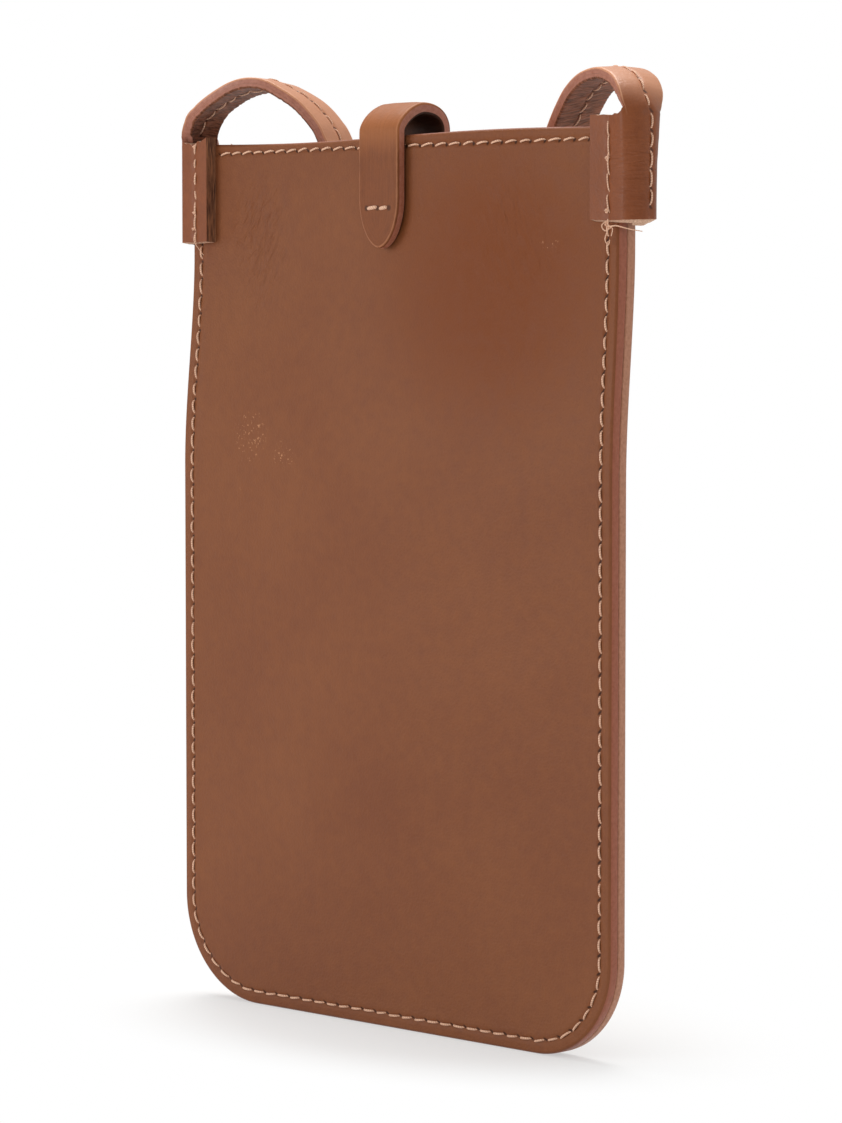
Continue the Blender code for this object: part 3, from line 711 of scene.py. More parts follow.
# %% Line and outline of the tab
TAB_AT, TAB_WIDTH, TAB_OUTER, TAB_INNER = 1.0, 11.0, 1.25, 1.05
TAB_THICK = TAB_OUTER + BOND + TAB_INNER
TAB_ROOT, TAB_CUT, TAB_TIP, TAB_CLEAR = 16.0, 0.30, 10.0, 0.3    # root, split, point, and gap to the walls
TAB_ROW = 164.85
MOUTH = HEIGHT + 1.6 * bell(TAB_AT, 14.0, 34.0)    # the solid model's edge under the tab
TAB_BACK = float(wall_face(1, TAB_AT, MOUTH)) + TAB_CLEAR + TAB_THICK / 2
TAB_FRONT = float(wall_face(-1, TAB_AT, MOUTH)) - TAB_CLEAR - TAB_THICK / 2


def tab_line():
    """The middle of the tab's thickness: up the back, over an arch and down the front.

    The arch is half a superellipse, squarer at the back than at the front.
    """
    centre, half = (TAB_BACK + TAB_FRONT) / 2, (TAB_BACK - TAB_FRONT) / 2
    a = np.linspace(0, np.pi, 121)
    c, s = np.cos(a), np.sin(a)
    power = 2 / np.where(c > 0, 2.4, 1.55)
    up = np.linspace(MOUTH - 1.2 - TAB_ROOT, MOUTH - 0.8, 40)
    down = np.linspace(MOUTH - 0.8, MOUTH - 23.8, 60)
    y = np.r_[0 * up + TAB_BACK, centre + half * np.copysign(np.abs(c) ** power, c), 0 * down + TAB_FRONT]
    z = np.r_[up, MOUTH - 0.6 + 4.6 * np.abs(s) ** power, down]
    return even_path(np.stack([np.full(len(y), TAB_AT), y, z], 1), 0.05)


def tab_outline(start, end):
    """The flap laid flat, as places along its length and across it: straight sides and a rounded point."""
    left = TAB_TIP * (1 - np.linspace(0, 1, 60)) ** 2
    half = TAB_WIDTH / 2 * (1 - (1 - left / TAB_TIP) ** 2.0) ** 0.56
    straight = np.arange(start, end - TAB_TIP, 0.4)
    side = np.vstack([np.stack([straight, np.full(len(straight), TAB_WIDTH / 2)], 1),
                      np.stack([end - left, half], 1)])
    return np.vstack([side * (1, -1), side[-2::-1]])


TAB = tab_line()
TAB_LENGTH = run_length(TAB)
_, TAB_WIDE, TAB_FACE = strip_frame(TAB, (1, 0, 0))
print(f"tab: {TAB_LENGTH[-1]:.1f} mm long, arch top {TAB[:, 2].max():.1f} mm high")

# %% Flap
FLAP_EDGE = ((0.0, 0.5), (0.05, 0.3), (0.14, 0.16), (0.28, 0.06), (0.45, 0.0), (0.62, 0.0), (0.74, 0.01),
             (0.84, 0.05), (0.94, 0.01), (1.06, 0.0), (1.3, -0.03), (1.8, -0.07), (2.5, -0.10), (3.3, -0.12),
             (9.0, -0.12))    # insets and depths: rounded edge, pressed line, crowned middle


def flap(word, high, low, look, edge_look):
    """One leather of the flap. Rings run from its outline in to its spine, and sink by FLAP_EDGE."""
    start, end = TAB_ROOT + TAB_CUT / 2, TAB_LENGTH[-1]
    flat = tab_outline(start, end)
    away = np.stack([np.clip(flat[:, 0], start, end - 4.2), np.zeros(len(flat))], 1) - flat
    far = np.maximum(np.linalg.norm(away, axis=1), 3.4)
    shown, hidden, sink = (high, low, 1) if word == "outer" else (low, high, -1)
    top, bottom, uv = [], [], []
    for inset, depth in FLAP_EDGE:
        at = flat + away * np.minimum(inset / far, 1)[:, None]
        p, w, f = (pick(values, TAB_LENGTH, at[:, 0]) for values in (TAB, TAB_WIDE, TAB_FACE))
        p = p + at[:, 1:] * w
        top.append(p + (shown - sink * depth) * f)
        bottom.append(p + hidden * f)
        uv.append(np.stack([np.sign(flat[:, 1]) * max(TAB_WIDTH / 2 - inset, 0), at[:, 0]], 1))
    top, bottom, uv = np.array(top), np.array(bottom), np.array(uv)
    faces = np.array(grid(top, np.zeros(len(top)), np.zeros(len(flat)))[0])
    kind = np.ones(uv.shape[0] * uv.shape[1], int)
    slab("tab_" + word + "_leather", top.reshape(-1, 3), bottom.reshape(-1, 3), faces, uv.reshape(-1, 2),
         kind, (look, edge_look), "tab", ("tab_" + word,))


print(f"flap: {TAB_LENGTH[-1] - TAB_ROOT:.1f} mm long, in {len(FLAP_EDGE)} rings")

# %% Whole tab
def tab(outer_look, inner_look, edge_look, thread_look):
    """The tab's root and flap in two leathers, its two front stitches and the rows that hold the root."""
    middle = -TAB_THICK / 2 + TAB_INNER
    root = np.arange(0, TAB_ROOT - TAB_CUT / 2 + 0.01, 0.5)
    for word, low, high, look, slot, r_low, r_high in (
            ("inner", -TAB_THICK / 2, middle + BOND - 0.01, inner_look, "tab_flesh", 0.3, 0.02),
            ("outer", middle + BOND, TAB_THICK / 2, outer_look, "tab_leather", 0.02, 0.4)):
        line, wide, face = (pick(values, TAB_LENGTH, root) for values in (TAB, TAB_WIDE, TAB_FACE))
        strip("tab_root_" + word + "_leather", line, wide, face, TAB_WIDTH / 2, low, high, look,
              ("tab_root_" + word,), r_low, r_high)
        flap(word, high, low, look, edge_look)
    spots = np.array([(TAB_AT + x, TAB_FRONT - TAB_THICK / 2 - 0.06, TAB_ROW) for x in (-1.55, 1.55)])
    stitches("tab_stitches", spots, (1.0, 0, 0), (0, -1.0, 0), thread_look, "tab", length=2.7, thick=0.74,
             lift=0.22, seed=3, ragged=0.05, slant=-0.14)
    back = TAB_BACK + TAB_THICK / 2 + 0.02
    for name, down in (("low", 15.2), ("high", 6.0)):
        spots = np.array([(TAB_AT + x, back, MOUTH - down) for x in (-3.4, 0.0, 3.4)])
        stitches("tab_root_stitches_" + name, spots, (1.0, 0, 0), (0, 1.0, 0), thread_look, "case", seed=7)


print(f"tab's front stitches: {TAB_ROW} mm high, {MOUTH - TAB_ROW:.1f} mm below the mouth")

# %% [markdown]
# ## Strap
#
# The strap is two leathers with a row of stitches down the middle. Each end is cut wider, so that it
# folds round the case's side as a wrap with a front and a back flange and is sewn through. Between
# the wraps it rises in two loops and goes down behind the case, where it is wound up and tied. It is
# one line here, as it is one strap, and one net of points holds strap and wraps, because the leather
# runs through from loop to wrap with no seam.

# %% The strap's way
STRAP_WIDTH, STRAP_OUTER, STRAP_INNER, STRAP_BOND = 11.2, 1.2, 1.1, 0.1
STRAP_THICK = STRAP_OUTER + STRAP_BOND + STRAP_INNER
STRAP_HALF = STRAP_WIDTH / 2
WRAP_THICK = 1.3 + STRAP_BOND + 1.15
WRAP_SLACK = {-1: 0.25, 1: 2.0}                   # how loosely a wrap goes round the case's side
WRAP_MIDDLE = {-1: LEAN_LEFT, 1: LEAN_RIGHT}
LANE, LANE_PITCH, WOUND_AT = 14.5, 3.1, 14.2      # the wound turns: outermost, pitch and depth behind
TOP_TURN, FOLD_AT, FOLD_BEND, WAIST_AT = HEIGHT - 61.3, 30.0, 4.0, 64.0
LOOPS = {    # from the top of each wrap: inwards, back and up
    -1: ((0.0, 0.0, 0.0), (0.05, 0.0, 1.2), (0.65, 0.05, 3.3), (1.95, 0.15, 5.5), (4.05, 0.35, 7.5),
         (6.75, 0.7, 9.2), (9.85, 1.25, 10.4), (13.15, 2.1, 11.1), (16.1, 3.1, 11.25),
         (18.9, 4.2, 10.85), (21.5, 5.4, 9.8), (26.0, 7.9, 6.6), (29.4, 10.0, 2.2), (31.9, 11.2, -3.0)),
    1: ((0.0, 0.8, 0.0), (0.0, 0.8, 0.8), (0.4, 1.05, 2.4), (1.3, 1.65, 4.2), (2.95, 2.5, 5.9),
        (5.15, 3.5, 7.3), (8.95, 4.95, 8.5), (12.5, 6.0, 8.7), (17.0, 7.3, 7.85),
        (21.15, 8.6, 5.8), (24.7, 9.95, 2.9), (27.9, 11.2, -0.5), (29.9, 11.8, -3.2))}


def loop_points(side):
    """Points of a loop from the top of its wrap to where it goes down behind the case."""
    start = HALF + WRAP_SLACK[side] + WRAP_THICK / 2
    return [(side * (start - inward), WRAP_MIDDLE[side] + back, WRAP_TOP[side] + up)
            for inward, back, up in LOOPS[side]]


def behind(x, z):
    """A point of the wound strap. The turns are drawn together at the tie by a bell-shaped shift."""
    return x + (7.0 if x < 0 else -3.0) * bell(z, WAIST_AT, 22.0), WOUND_AT, z


def lane(x, start, stop, count):
    """Points of a straight lane of the wound strap."""
    return [behind(x, z) for z in np.linspace(start, stop, count)]


def arc(x, z, radius, start, stop, count):
    """Points of a turn of the wound strap: part of a circle."""
    return [behind(x + radius * math.cos(a), z + radius * math.sin(a))
            for a in np.radians(np.linspace(start, stop, count))]


def strap_route():
    """The free strap in one line: right loop, wound up in two turns to its fold, back, left loop."""
    inner, second, third = (LANE - k * LANE_PITCH for k in (1, 2, 3))
    low = LANE + STRAP_THICK / 2
    line, left_end = loop_points(1), loop_points(-1)
    x, back, z = line[-1][0] - LANE, line[-1][1] - WOUND_AT, line[-1][2]
    line += [(LANE + x * 0.62, WOUND_AT + back * 0.85, z - 9.0),
             (LANE + x * 0.29, WOUND_AT + back * 0.5, z - 19.0),
             (LANE + x * 0.06, WOUND_AT + back * 0.15, z - 31.0)]
    line += lane(LANE, TOP_TURN + 18, low + 6, 15)
    line += arc(0, low, LANE, 0, -180, 9)
    line += lane(-LANE, low + 6, TOP_TURN - 5, 13)
    line += arc((second - LANE) / 2, TOP_TURN, (LANE + second) / 2, 180, 0, 8)
    line += lane(second, TOP_TURN - 6, FOLD_AT + 8, 11)
    line += arc(second - FOLD_BEND, FOLD_AT, FOLD_BEND, 0, -180, 7)
    for place_across, up in ((second - 2 * FOLD_BEND + 0.9, 10), (third - 1.2, 19)):
        line.append(behind(place_across, FOLD_AT + up))
    line += lane(third, FOLD_AT + 27, TOP_TURN - 6, 9)
    line += arc((third - inner) / 2, TOP_TURN, (third + inner) / 2, 0, 180, 8)
    line += lane(-inner, TOP_TURN - 5, low + 6, 13)
    line += arc(0, low, inner, -180, 0, 8)
    line += lane(inner, low + 6, TOP_TURN, 13)
    x, back, z = left_end[-1][0], left_end[-1][1] - WOUND_AT, left_end[-1][2]
    line += [(inner - 0.4, WOUND_AT, TOP_TURN + 8), (inner - 3.0, WOUND_AT + back * 0.1, z - 44.0),
             (inner - 9.4, WOUND_AT + back * 0.3, z - 34.5), (x * 0.27, WOUND_AT + back * 0.6, z - 23.5),
             (x * 0.66, WOUND_AT + back * 0.85, z - 11.5)]
    return smooth_path(line + left_end[::-1], 0.5)


STRAP = strap_route()
_, STRAP_WIDE, STRAP_FACE = strip_frame(STRAP, (0, 1, 0))
STRAP_AT = run_length(STRAP)
STRAP_LONG = STRAP_AT[-1]
print(f"strap: {STRAP_LONG:.1f} mm from wrap to wrap")

# %% A place on the strap or its wraps
FLANGE_END, FLANGE_OUT = {-1: 52.8, 1: 54.0}, {-1: 5.5, 1: 4.15}      # across the case, and out from the seam
FLANGE_BEND, FLANGE_THICK = {-1: 1.4, 1: 1.5}, {-1: 2.65, 1: 1.35}
FLANGE_ROW, NOTCH = {-1: 56.4, 1: 58.6}, {-1: 0.8, 1: 1.3}            # stitch row, and where wraps end above
CUP = {-1: ((-22, 0, 4, 12, 24), (7.3, 7.3, 11.0, 40.0, 150.0)),     # the strap's radius across its width
       1: ((-20, -9, 0, 1.6, 4, 12, 24), (4.5, 4.5, 6.5, 6.8, 11.5, 40.0, 150.0))}
TWIST = {-1: ((0, 8, 14, 19, 26, 40, 52, 80), (0, -9, -6, 0, 8, 13, 13, 0)),    # in degrees
         1: ((0, 2.5, 7, 25), (0, -3, -3, 0))}


def nearest_end(l):
    """Side of the nearer wrap and the way along the strap from its top, negative inside the wrap."""
    side = np.where(l < STRAP_LONG / 2, 1, -1)
    return side, np.where(side > 0, l, STRAP_LONG - l)


def at_side(side, table):
    """A left and a right value, shared out by side."""
    return np.where(side > 0, table[1], table[-1])


def by_side(side, a, tables):
    """Values read from a left and a right table of ways and values."""
    return np.where(side > 0, np.interp(a, *tables[1]), np.interp(a, *tables[-1]))


def strap_seat(l):
    """Middle of the strap's thickness and its directions at a length, also straight down inside the wraps.

    Bells and eased steps move it a little where the photo shows it bulge, lean or drop.
    """
    side, a = nearest_end(l)
    flat = np.clip(l, 0, STRAP_LONG).ravel()
    p, w, f = (pick(v, STRAP_AT, flat).reshape(*l.shape, 3) for v in (STRAP, STRAP_WIDE, STRAP_FACE))
    w, f = unit(w), unit(f)
    bulge = np.where(a < 0, 1.12 + 0.18 * ease((a + 18) / 14), 1.3 * bell(a, 0, 2.6)) * (side > 0)
    back = np.where(a < 0, -0.7, -0.7 * bell(a, 0, 7)) * (side > 0)
    left_loop = (side < 0) & (a > 0)
    lean_in = left_loop * 1.05 * bell(a, 12, 8) * ease(a / 9)
    drop_in = left_loop * -0.6 * bell(a, 13, 6)
    p = p + np.stack([bulge + lean_in, back, np.minimum(a, 0) + drop_in], -1)
    turn = np.radians(by_side(side, a, TWIST))[..., None]
    return side, a, p, np.cos(turn) * w - np.sin(turn) * f, np.cos(turn) * f + np.sin(turn) * w


def strap_surface(l, s, corner, flat, depth, settle=True):
    """A point of the strap or its wrap, by length, place across and depth under the outer face.

    The section is a cupped arc as wide as the strap. In a wrap it goes on over a tighter corner and
    then flat along the wall: corner and flat run from 0 to 1 over these two.
    """
    side, a, p, w, f = strap_seat(l)
    cup = 1 / by_side(side, a, CUP)
    theta, sign, bend = cup * s, np.sign(s), at_side(side, FLANGE_BEND)
    edge = np.abs(theta)
    turn = edge + corner * (np.pi / 2 - edge)
    across = np.sin(theta) / cup + sign * bend * (np.sin(turn) - np.sin(edge))
    drop = (1 - np.cos(theta)) / cup + bend * (np.cos(edge) - np.cos(turn))
    outside = np.abs(p[..., 0]) + STRAP_THICK / 2
    straight = flat * (outside - at_side(side, FLANGE_END) - drop)
    drop = drop + straight
    across = across + sign * (at_side(side, FLANGE_OUT) - np.abs(across)) * ease(straight / 3.5)
    off = outside - drop - at_side(side, FLANGE_ROW)
    pull = 0.32 * bell(off, 0, 0.55) * (0.7 + 0.3 * np.cos(2 * np.pi * l / PITCH)) * (flat > 0)
    if settle:
        thick = depth + (at_side(side, FLANGE_THICK) - depth) * ease(straight / 3.0)
        depth = np.where(depth > 0.6, thick, depth)
    depth = depth + np.where(depth < 0.6, pull, 0)
    return (p + w * (across - depth * np.sin(turn) * sign)[..., None]
            + f * (STRAP_THICK / 2 - drop - depth * np.cos(turn))[..., None])


print("top of the right loop:", round(float(strap_seat(np.arange(0.0, 30.0))[2][:, 2].max()), 1), "mm high")

# %% Net of the strap
NET = {"outer": (0.5, 62.0, 25), "inner": (0.24, 44.0, 0)}    # fine step, how far, columns of a wing
HALF_CORE = np.array((0, 0.3, 0.6, 0.95, 1.5, 2.3, 3.2, 4.1, 4.8, 5.15, 5.35, 5.48, 5.56, STRAP_HALF))
WEB_ROWS, STRAP_SHIFT, BODY_STEP = 44, 0.85, 0.9
CORNER_RUN, FLANGE_RUN = 1.2, 6.0                # way round the corner and over the flange, in mm
ARRIS = 0.4                                      # radius of the strap's rounded edge


def wrap_top(side, away, s):
    """How far a wrap's raw edge stands above its top line, by distance from the strap's edge."""
    rough = 0.16 * np.sin(2.9 * away + 1.1 * s) + 0.10 * np.sin(5.3 * away + 0.5)
    if side > 0:
        top = NOTCH[1] * np.exp(-away / 1.5) + rough * ease(away / 0.8)
        return top - 1.8 * ease(away / 2.5) * (s > 0)
    top = np.interp(away, (0, 1.0, 3.0, 5.0, 7.0, 9.5), (NOTCH[-1], -0.5, -1.2, -0.8, -0.2, -0.35))
    return top + rough * ease(away) - 3.8 * ease(away / 1.2) * (s > 0)


def strap_net(fine, dense, wings):
    """The strap's net as arrays of length, place across, corner and flat, and its faces.

    It is shaped like a long double T: rows are fine near the wraps, and only the wraps have wings,
    which go on over the corner and the flange. In a wrap the rows stretch from its foot to its top.
    """
    lead, tail = (np.linspace(NOTCH[k], dense, int((dense - NOTCH[k]) / fine)) for k in (1, -1))
    between = np.arange(dense + BODY_STEP, STRAP_LONG - dense - 0.5, BODY_STEP)
    run = np.r_[lead, between, STRAP_LONG - tail[::-1]]
    core = np.r_[-HALF_CORE[:0:-1], HALF_CORE]
    corner = np.r_[np.linspace(0.2, 1, 5), np.ones(20)][:wings]
    flat = np.r_[np.zeros(5), np.linspace(0.05, 1, 20)][:wings]
    s = np.r_[np.full(wings, -STRAP_HALF), core, np.full(wings, STRAP_HALF)]
    c, g = (np.r_[v[::-1], np.zeros(len(core)), v] for v in (corner, flat))
    away, web = CORNER_RUN * c + FLANGE_RUN * g, np.linspace(0, 1, WEB_ROWS)[:, None]
    first, last = (WRAP_HIGH[k] - (WRAP_HIGH[k] + np.where(c > 0, wrap_top(k, away, s), NOTCH[k])) * web
                   for k in (1, -1))
    l = np.vstack([-first, np.tile(run[1:-1, None], len(s)), (STRAP_LONG + last)[::-1]])
    n, m = l.shape
    bare = np.tile(c > 0, (n, 1))
    bare[:WEB_ROWS] = bare[n - WEB_ROWS:] = False
    index = np.arange(n * m).reshape(n, m)
    quads = np.stack([index[:-1, :-1], index[:-1, 1:], index[1:, 1:], index[1:, :-1]], -1).reshape(-1, 4)
    return l, *(np.tile(v, (n, 1)) for v in (s, c, g)), quads[~bare.ravel()[quads].any(1)]


print("rows of the strap's nets:", {layer: len(strap_net(*NET[layer])[0]) for layer in NET})

# %% One leather of the strap
PARTS = ("strap_end_right", "strap_right", "strap_wound", "strap_left", "strap_end_left")


def strap_layer(layer, look, looks):
    """One of the strap's two leathers, with the wrap at either end, as one long piece.

    Its face is a depth under the strap's outer face, less the relief of the stitch row, a low crown
    and creases, plus the rounding of its edges. The feet of the wraps bulge like a lens.
    """
    outer = layer == "outer"
    l, s, c, g, quads = strap_net(*NET[layer])
    side, a = nearest_end(l)
    beyond, on_strap = CORNER_RUN * c + FLANGE_RUN * g, c == 0
    lens = np.maximum(np.cos(np.pi / 2 * np.minimum((np.abs(s) + beyond) / 14.5, 1)), 0.45)
    lens = lens * np.clip(1 - (a + at_side(side, WRAP_HIGH)) / 1.2, 0, 1)
    lift, sunk = lens * np.where(side > 0, 0.75, 0.35), lens * np.where(side > 0, 0.55, 0.2)
    over = np.clip(np.abs(s) - (STRAP_HALF - ARRIS), 0, ARRIS)
    rounding = ARRIS - np.sqrt(np.maximum(ARRIS ** 2 - over ** 2, 0))
    rounding = rounding * ease((a - at_side(side, NOTCH)) / 0.8) * on_strap
    stand = (row_relief(s, (l - STRAP_SHIFT) / PITCH) + 0.06 * (1 - (s / STRAP_HALF) ** 2)) * on_strap
    if outer:
        creases = 0.03 * ripple(l, s, 31, (2.6, 3.7, 1.7), 0.5) * bell(a, 5, 14) * on_strap
        top = strap_surface(l + side * lift, s, c, g, rounding - stand - creases)
        bottom = strap_surface(l, s, c, g, np.full(l.shape, STRAP_OUTER + 0.02))
    else:
        narrow = s * (1 - 0.3 * ease(-a / 4))
        wrinkle = ripple(l, s * 1.6, 23, (0.95, 1.35, 1.9), 0.45) * np.exp(-((a - 12) / 24) ** 4)
        under = STRAP_THICK - rounding - 0.14 + 0.13 * wrinkle + 0.8 * stand
        near = np.full(l.shape, STRAP_OUTER + 0.05)
        top = strap_surface(l - side * sunk, narrow, c, g, under, False)
        bottom = strap_surface(l + side * (lift - sunk) * 0.6, narrow, c, g, near, False)
    used = np.unique(quads)
    number = np.full(l.size, -1)
    number[used] = np.arange(len(used))
    kind = np.where(g == 1, 3, np.where((a < -3) | (g > 0), 2, 1))
    uv = np.stack([s + np.sign(s) * beyond, l - STRAP_SHIFT], -1)
    slab("strap_" + layer + "_leather", top.reshape(-1, 3)[used], bottom.reshape(-1, 3)[used], number[quads],
         uv.reshape(-1, 2)[used], kind.ravel()[used], (look, *looks), "case",
         [part + "_" + layer for part in PARTS])


print(f"strap: {STRAP_WIDTH} x {STRAP_THICK:.1f} mm, standing for {len(PARTS)} solids in each leather")

# %% Whole strap
def strap(outer_look, inner_look, looks, thread_look):
    """Both leathers of the strap and its row of stitches, seen outside and inside."""
    strap_layer("outer", outer_look, looks)
    strap_layer("inner", inner_look, looks)
    first, last = -WRAP_HIGH[1] + 2.4, STRAP_LONG + WRAP_HIGH[-1] - 2.0
    l = (np.arange(math.floor(first / PITCH), int(last / PITCH)) + 0.5) * PITCH + STRAP_SHIFT
    l = l[l > first]
    middle, ahead = (strap_surface(at, 0.0, 0.0, 0.0, 0.08) for at in (l, l + 0.1))
    stitches("strap_stitches", middle, ahead - middle, strap_seat(l)[4], thread_look, "case", length=3.3,
             thick=0.42, slant=0.12, seed=11, ragged=0.10, hook=0.5)
    l = l[(l > 2) & (l < STRAP_LONG - 2)]
    middle, ahead = (strap_surface(at, 0.0, 0.0, 0.0, STRAP_THICK - 0.12, False) for at in (l, l + 0.1))
    pressed = np.maximum(0.45 - middle[:, 2:], 0) * (0.0, 0.0, 1.0)    # the lowest ones lie on the paper
    stitches("strap_inside_stitches", middle + pressed, ahead - middle, -strap_seat(l)[4], thread_look,
             "case", length=2.9, thick=0.34, slant=0.2, seed=12, ragged=0.13)


print("stitches of the strap: about", round(STRAP_LONG / PITCH))

# %% [markdown]
# ## Threads on the wraps, and the tie
#
# The wraps are sewn by hand through all layers. Their stitches are uneven and nearly touch, with
# knots and cut ends left at the right wrap. Loose ends are tubes along a few points, thin at the tip.
# The tie is a band of cotton tape round the wound strap.

# %% Threads on the wraps
KNOTS = {-1: ((178.7, 0.40), (165.0, 0.34), (161.6, 0.34)),    # heights and sizes
         1: ((173.2, 0.50), (163.3, 0.50), (160.9, 0.42))}
WRAP_PITCH = {-1: 0.86, 1: 0.98}                               # in pitches of the machine's rows
WRAP_STITCH, WRAP_THREAD = {-1: 2.9, 1: 3.7}, {-1: 0.44, 1: 0.34}
LOOSE = (("loose_thread_long", 1, ((0, 0, 0), (0.6, -0.5, -1.3), (2.6, -0.7, -1.3), (5.0, 0.1, -1.9),
                                   (7.2, 1.6, -2.4))),
         ("loose_thread_short", 1, ((0.2, 0, -0.3), (-0.9, -0.8, -1.2), (-0.2, -0.7, -2.2), (1.2, -0.3, -1.6),
                                    (0.9, -0.2, -3.2))),
         ("loose_thread_curl", 1, ((0.3, 0, -1.2), (0.1, -0.5, -2.6), (-0.5, -0.3, -3.9), (0.1, -0.1, -4.9),
                                   (0.4, 0, -3.9))),
         ("left_thread_end", -1, ((-0.2, 0, 0.6), (0.1, -0.3, -0.9), (0.5, 0.6, -2.4), (0.9, 1.5, -3.6))))


def flange_spots(side, face, heights):
    """Points on a wrap's flat front (-1) or back (1), on its stitch row.

    The share of the flange at the row is the way from its corner to the row over the whole way.
    """
    up = np.asarray(heights) - WRAP_TOP[side]
    l, s = (up if side > 0 else STRAP_LONG - up), STRAP_HALF * face
    corner, end = (np.abs(strap_surface(l, s, 1.0, flat, 0.0)[:, 0]) for flat in (0.0, 1.0))
    return strap_surface(l, s, 1.0, (corner - FLANGE_ROW[side]) / (corner - end), 0.0)


print("top of the left row, in mm:", flange_spots(-1, -1, [KNOTS[-1][0][0]])[0].round(1))

# %% Loose ends and knots
def thread_end(name, points, look, thick=0.3):
    """A loose end of thread: a tube along a few points, thinner at its tip."""
    line = smooth_path(points, 0.25)
    _, wide, face = strip_frame(line, (0.3, -0.8, 0.52))
    a = np.linspace(0, 2 * np.pi, 6, endpoint=False)[:, None]
    r = thick / 2 * np.linspace(1, 0.55, len(line))[:, None, None]
    rows = line[:, None] + r * (np.cos(a) * wide[:, None] + np.sin(a) * face[:, None])
    faces, uvs = tube(rows, run_length(line), np.linspace(0, 1, 7))
    finish_mesh(name, rows.reshape(-1, 3), faces, uvs, (look,), "case")


def knot(name, centre, size, look):
    """A small hard knot: the thread goes round itself two and a half times, on a circle that breathes."""
    t = np.linspace(0, 5 * np.pi, 26)
    r = size * (0.75 + 0.25 * np.sin(1.7 * t))
    thread_end(name, centre + np.stack([r * np.cos(t), -0.05 - 0.02 * t, r * np.sin(t)], 1), look, 0.36)


print("loose ends:", len(LOOSE), "and knots:", len(KNOTS[-1]) + len(KNOTS[1]))

# %% All threads of the wraps
def wrap_threads(look):
    """Hand-sewn rows down the wraps: uneven, nearly touching stitches, knots and cut ends."""
    for side, word in ((-1, "left"), (1, "right")):
        low, high = WRAP_TOP[side] - WRAP_HIGH[side] + 0.6, WRAP_TOP[side] - 0.6
        draw = np.random.default_rng(40 + side)
        z = np.arange(high - 1.6, low, -PITCH * WRAP_PITCH[side])
        z = z + 0.25 * draw.standard_normal(len(z))
        for face, name in ((-1, "front"), (1, "back")):
            out = np.array((0.0, face, 0.0))
            stitches("wrap_" + word + "_" + name, flange_spots(side, face, z) - out * 0.04, (0, 0, 1.0), out,
                     look, "case", length=WRAP_STITCH[side], thick=WRAP_THREAD[side], seed=20 + side + face,
                     ragged=0.20, slant=0.05 * face, sink=0.45, lift=0.20)
        heights = np.array([height for height, _ in KNOTS[side]])
        spots = flange_spots(side, -1, np.maximum(heights, low))
        spots[:, 2] = heights
        for i, (spot, (_, size)) in enumerate(zip(spots, KNOTS[side]), 1):
            knot(f"knot_{word}_{i}", spot - (0.15 * i, 0.1, 0.0), size * 0.8, look)
    foot = {1: flange_spots(1, -1, [161.6])[0], -1: flange_spots(-1, -1, [159.6])[0]}
    for name, side, points in LOOSE:
        thread_end(name, foot[side] + np.array(points), look)


print(f"threads of the right wrap: from {WRAP_TOP[1] - WRAP_HIGH[1]:.1f} to {WRAP_TOP[1]:.1f} mm high")

# %% The tie
TAPE_HALF, TAPE_THICK, TAPE_GAP, TAPE_BEND = 3.0, 0.4, 0.35, 1.2


def tie(look):
    """A closed band: a section of tape carried round a rectangle with rounded corners."""
    out = TAPE_GAP + TAPE_THICK
    left = behind(-LANE, WAIST_AT)[0] - STRAP_THICK / 2 - out
    right = behind(LANE, WAIST_AT)[0] + STRAP_THICK / 2 + out
    half_x, half_y = (right - left) / 2 - TAPE_BEND, STRAP_HALF + out - TAPE_BEND
    a = np.radians(np.r_[0:90:9j, 90:180:9j, 180:270:9j, 270:360:9j])
    face = np.stack([np.cos(a), np.sin(a), 0 * a], 1)
    x, y = np.repeat((1, -1, -1, 1), 9) * half_x, np.repeat((1, 1, -1, -1), 9) * half_y
    points = np.stack([(left + right) / 2 + x, WOUND_AT + y, 0 * a + WAIST_AT], 1) + TAPE_BEND * face
    strip("tie_tape", points, np.tile((0, 0, 1.0), (len(a), 1)), face, TAPE_HALF, -TAPE_THICK, TAPE_THICK,
          look, ("strap_tie",), 0.12, 0.12, closed=True)


print(f"wound strap at the tie: {behind(LANE, WAIST_AT)[0] - behind(-LANE, WAIST_AT)[0]:.1f} mm wide")

# %% [markdown]
# ## Leather
#
# The leather is smooth calf, dyed tan and lightly polished. Its grain is a net of fine pores about
# half a millimetre across, its colour drifts a little over centimetres, and the holes of a stitch
# row get painted shade. A photograph could be wrapped on, but it would carry its own light. So the
# finish is built in layers: a base of two drifting tones, then tones that lie over it where a share
# says so, among them painted light and painted shade.

# %% Shares: where a tone lies over the leather
SLIT, SLIT_TURN = (0.78, 0.36), math.radians(-47)    # half size and slant of a row's slit, in mm
HOLE_SHADE = "3A1F14"


def nearness(tree, spot, centre, size, full, most):
    """Falls from most to 0 with the distance from a centre, measured in half sizes of a soft ellipsoid."""
    shift = add(tree, "VectorMath", (spot, tuple(np.asarray(centre) + SHIFT)), operation="SUBTRACT")[0]
    shift = add(tree, "VectorMath", (shift, tuple(1 / v for v in size)), operation="MULTIPLY")[0]
    away = add(tree, "VectorMath", (shift,), operation="LENGTH")["Value"]
    return add(tree, "MapRange", (away, 1.0, full, 0.0, most), **SMOOTH)[0]


def distance(tree, value, middle):
    """How far a value lies from a middle one, above or below."""
    value = add(tree, "Math", (value, middle), operation="SUBTRACT")[0]
    return add(tree, "Math", (value,), operation="ABSOLUTE")[0]


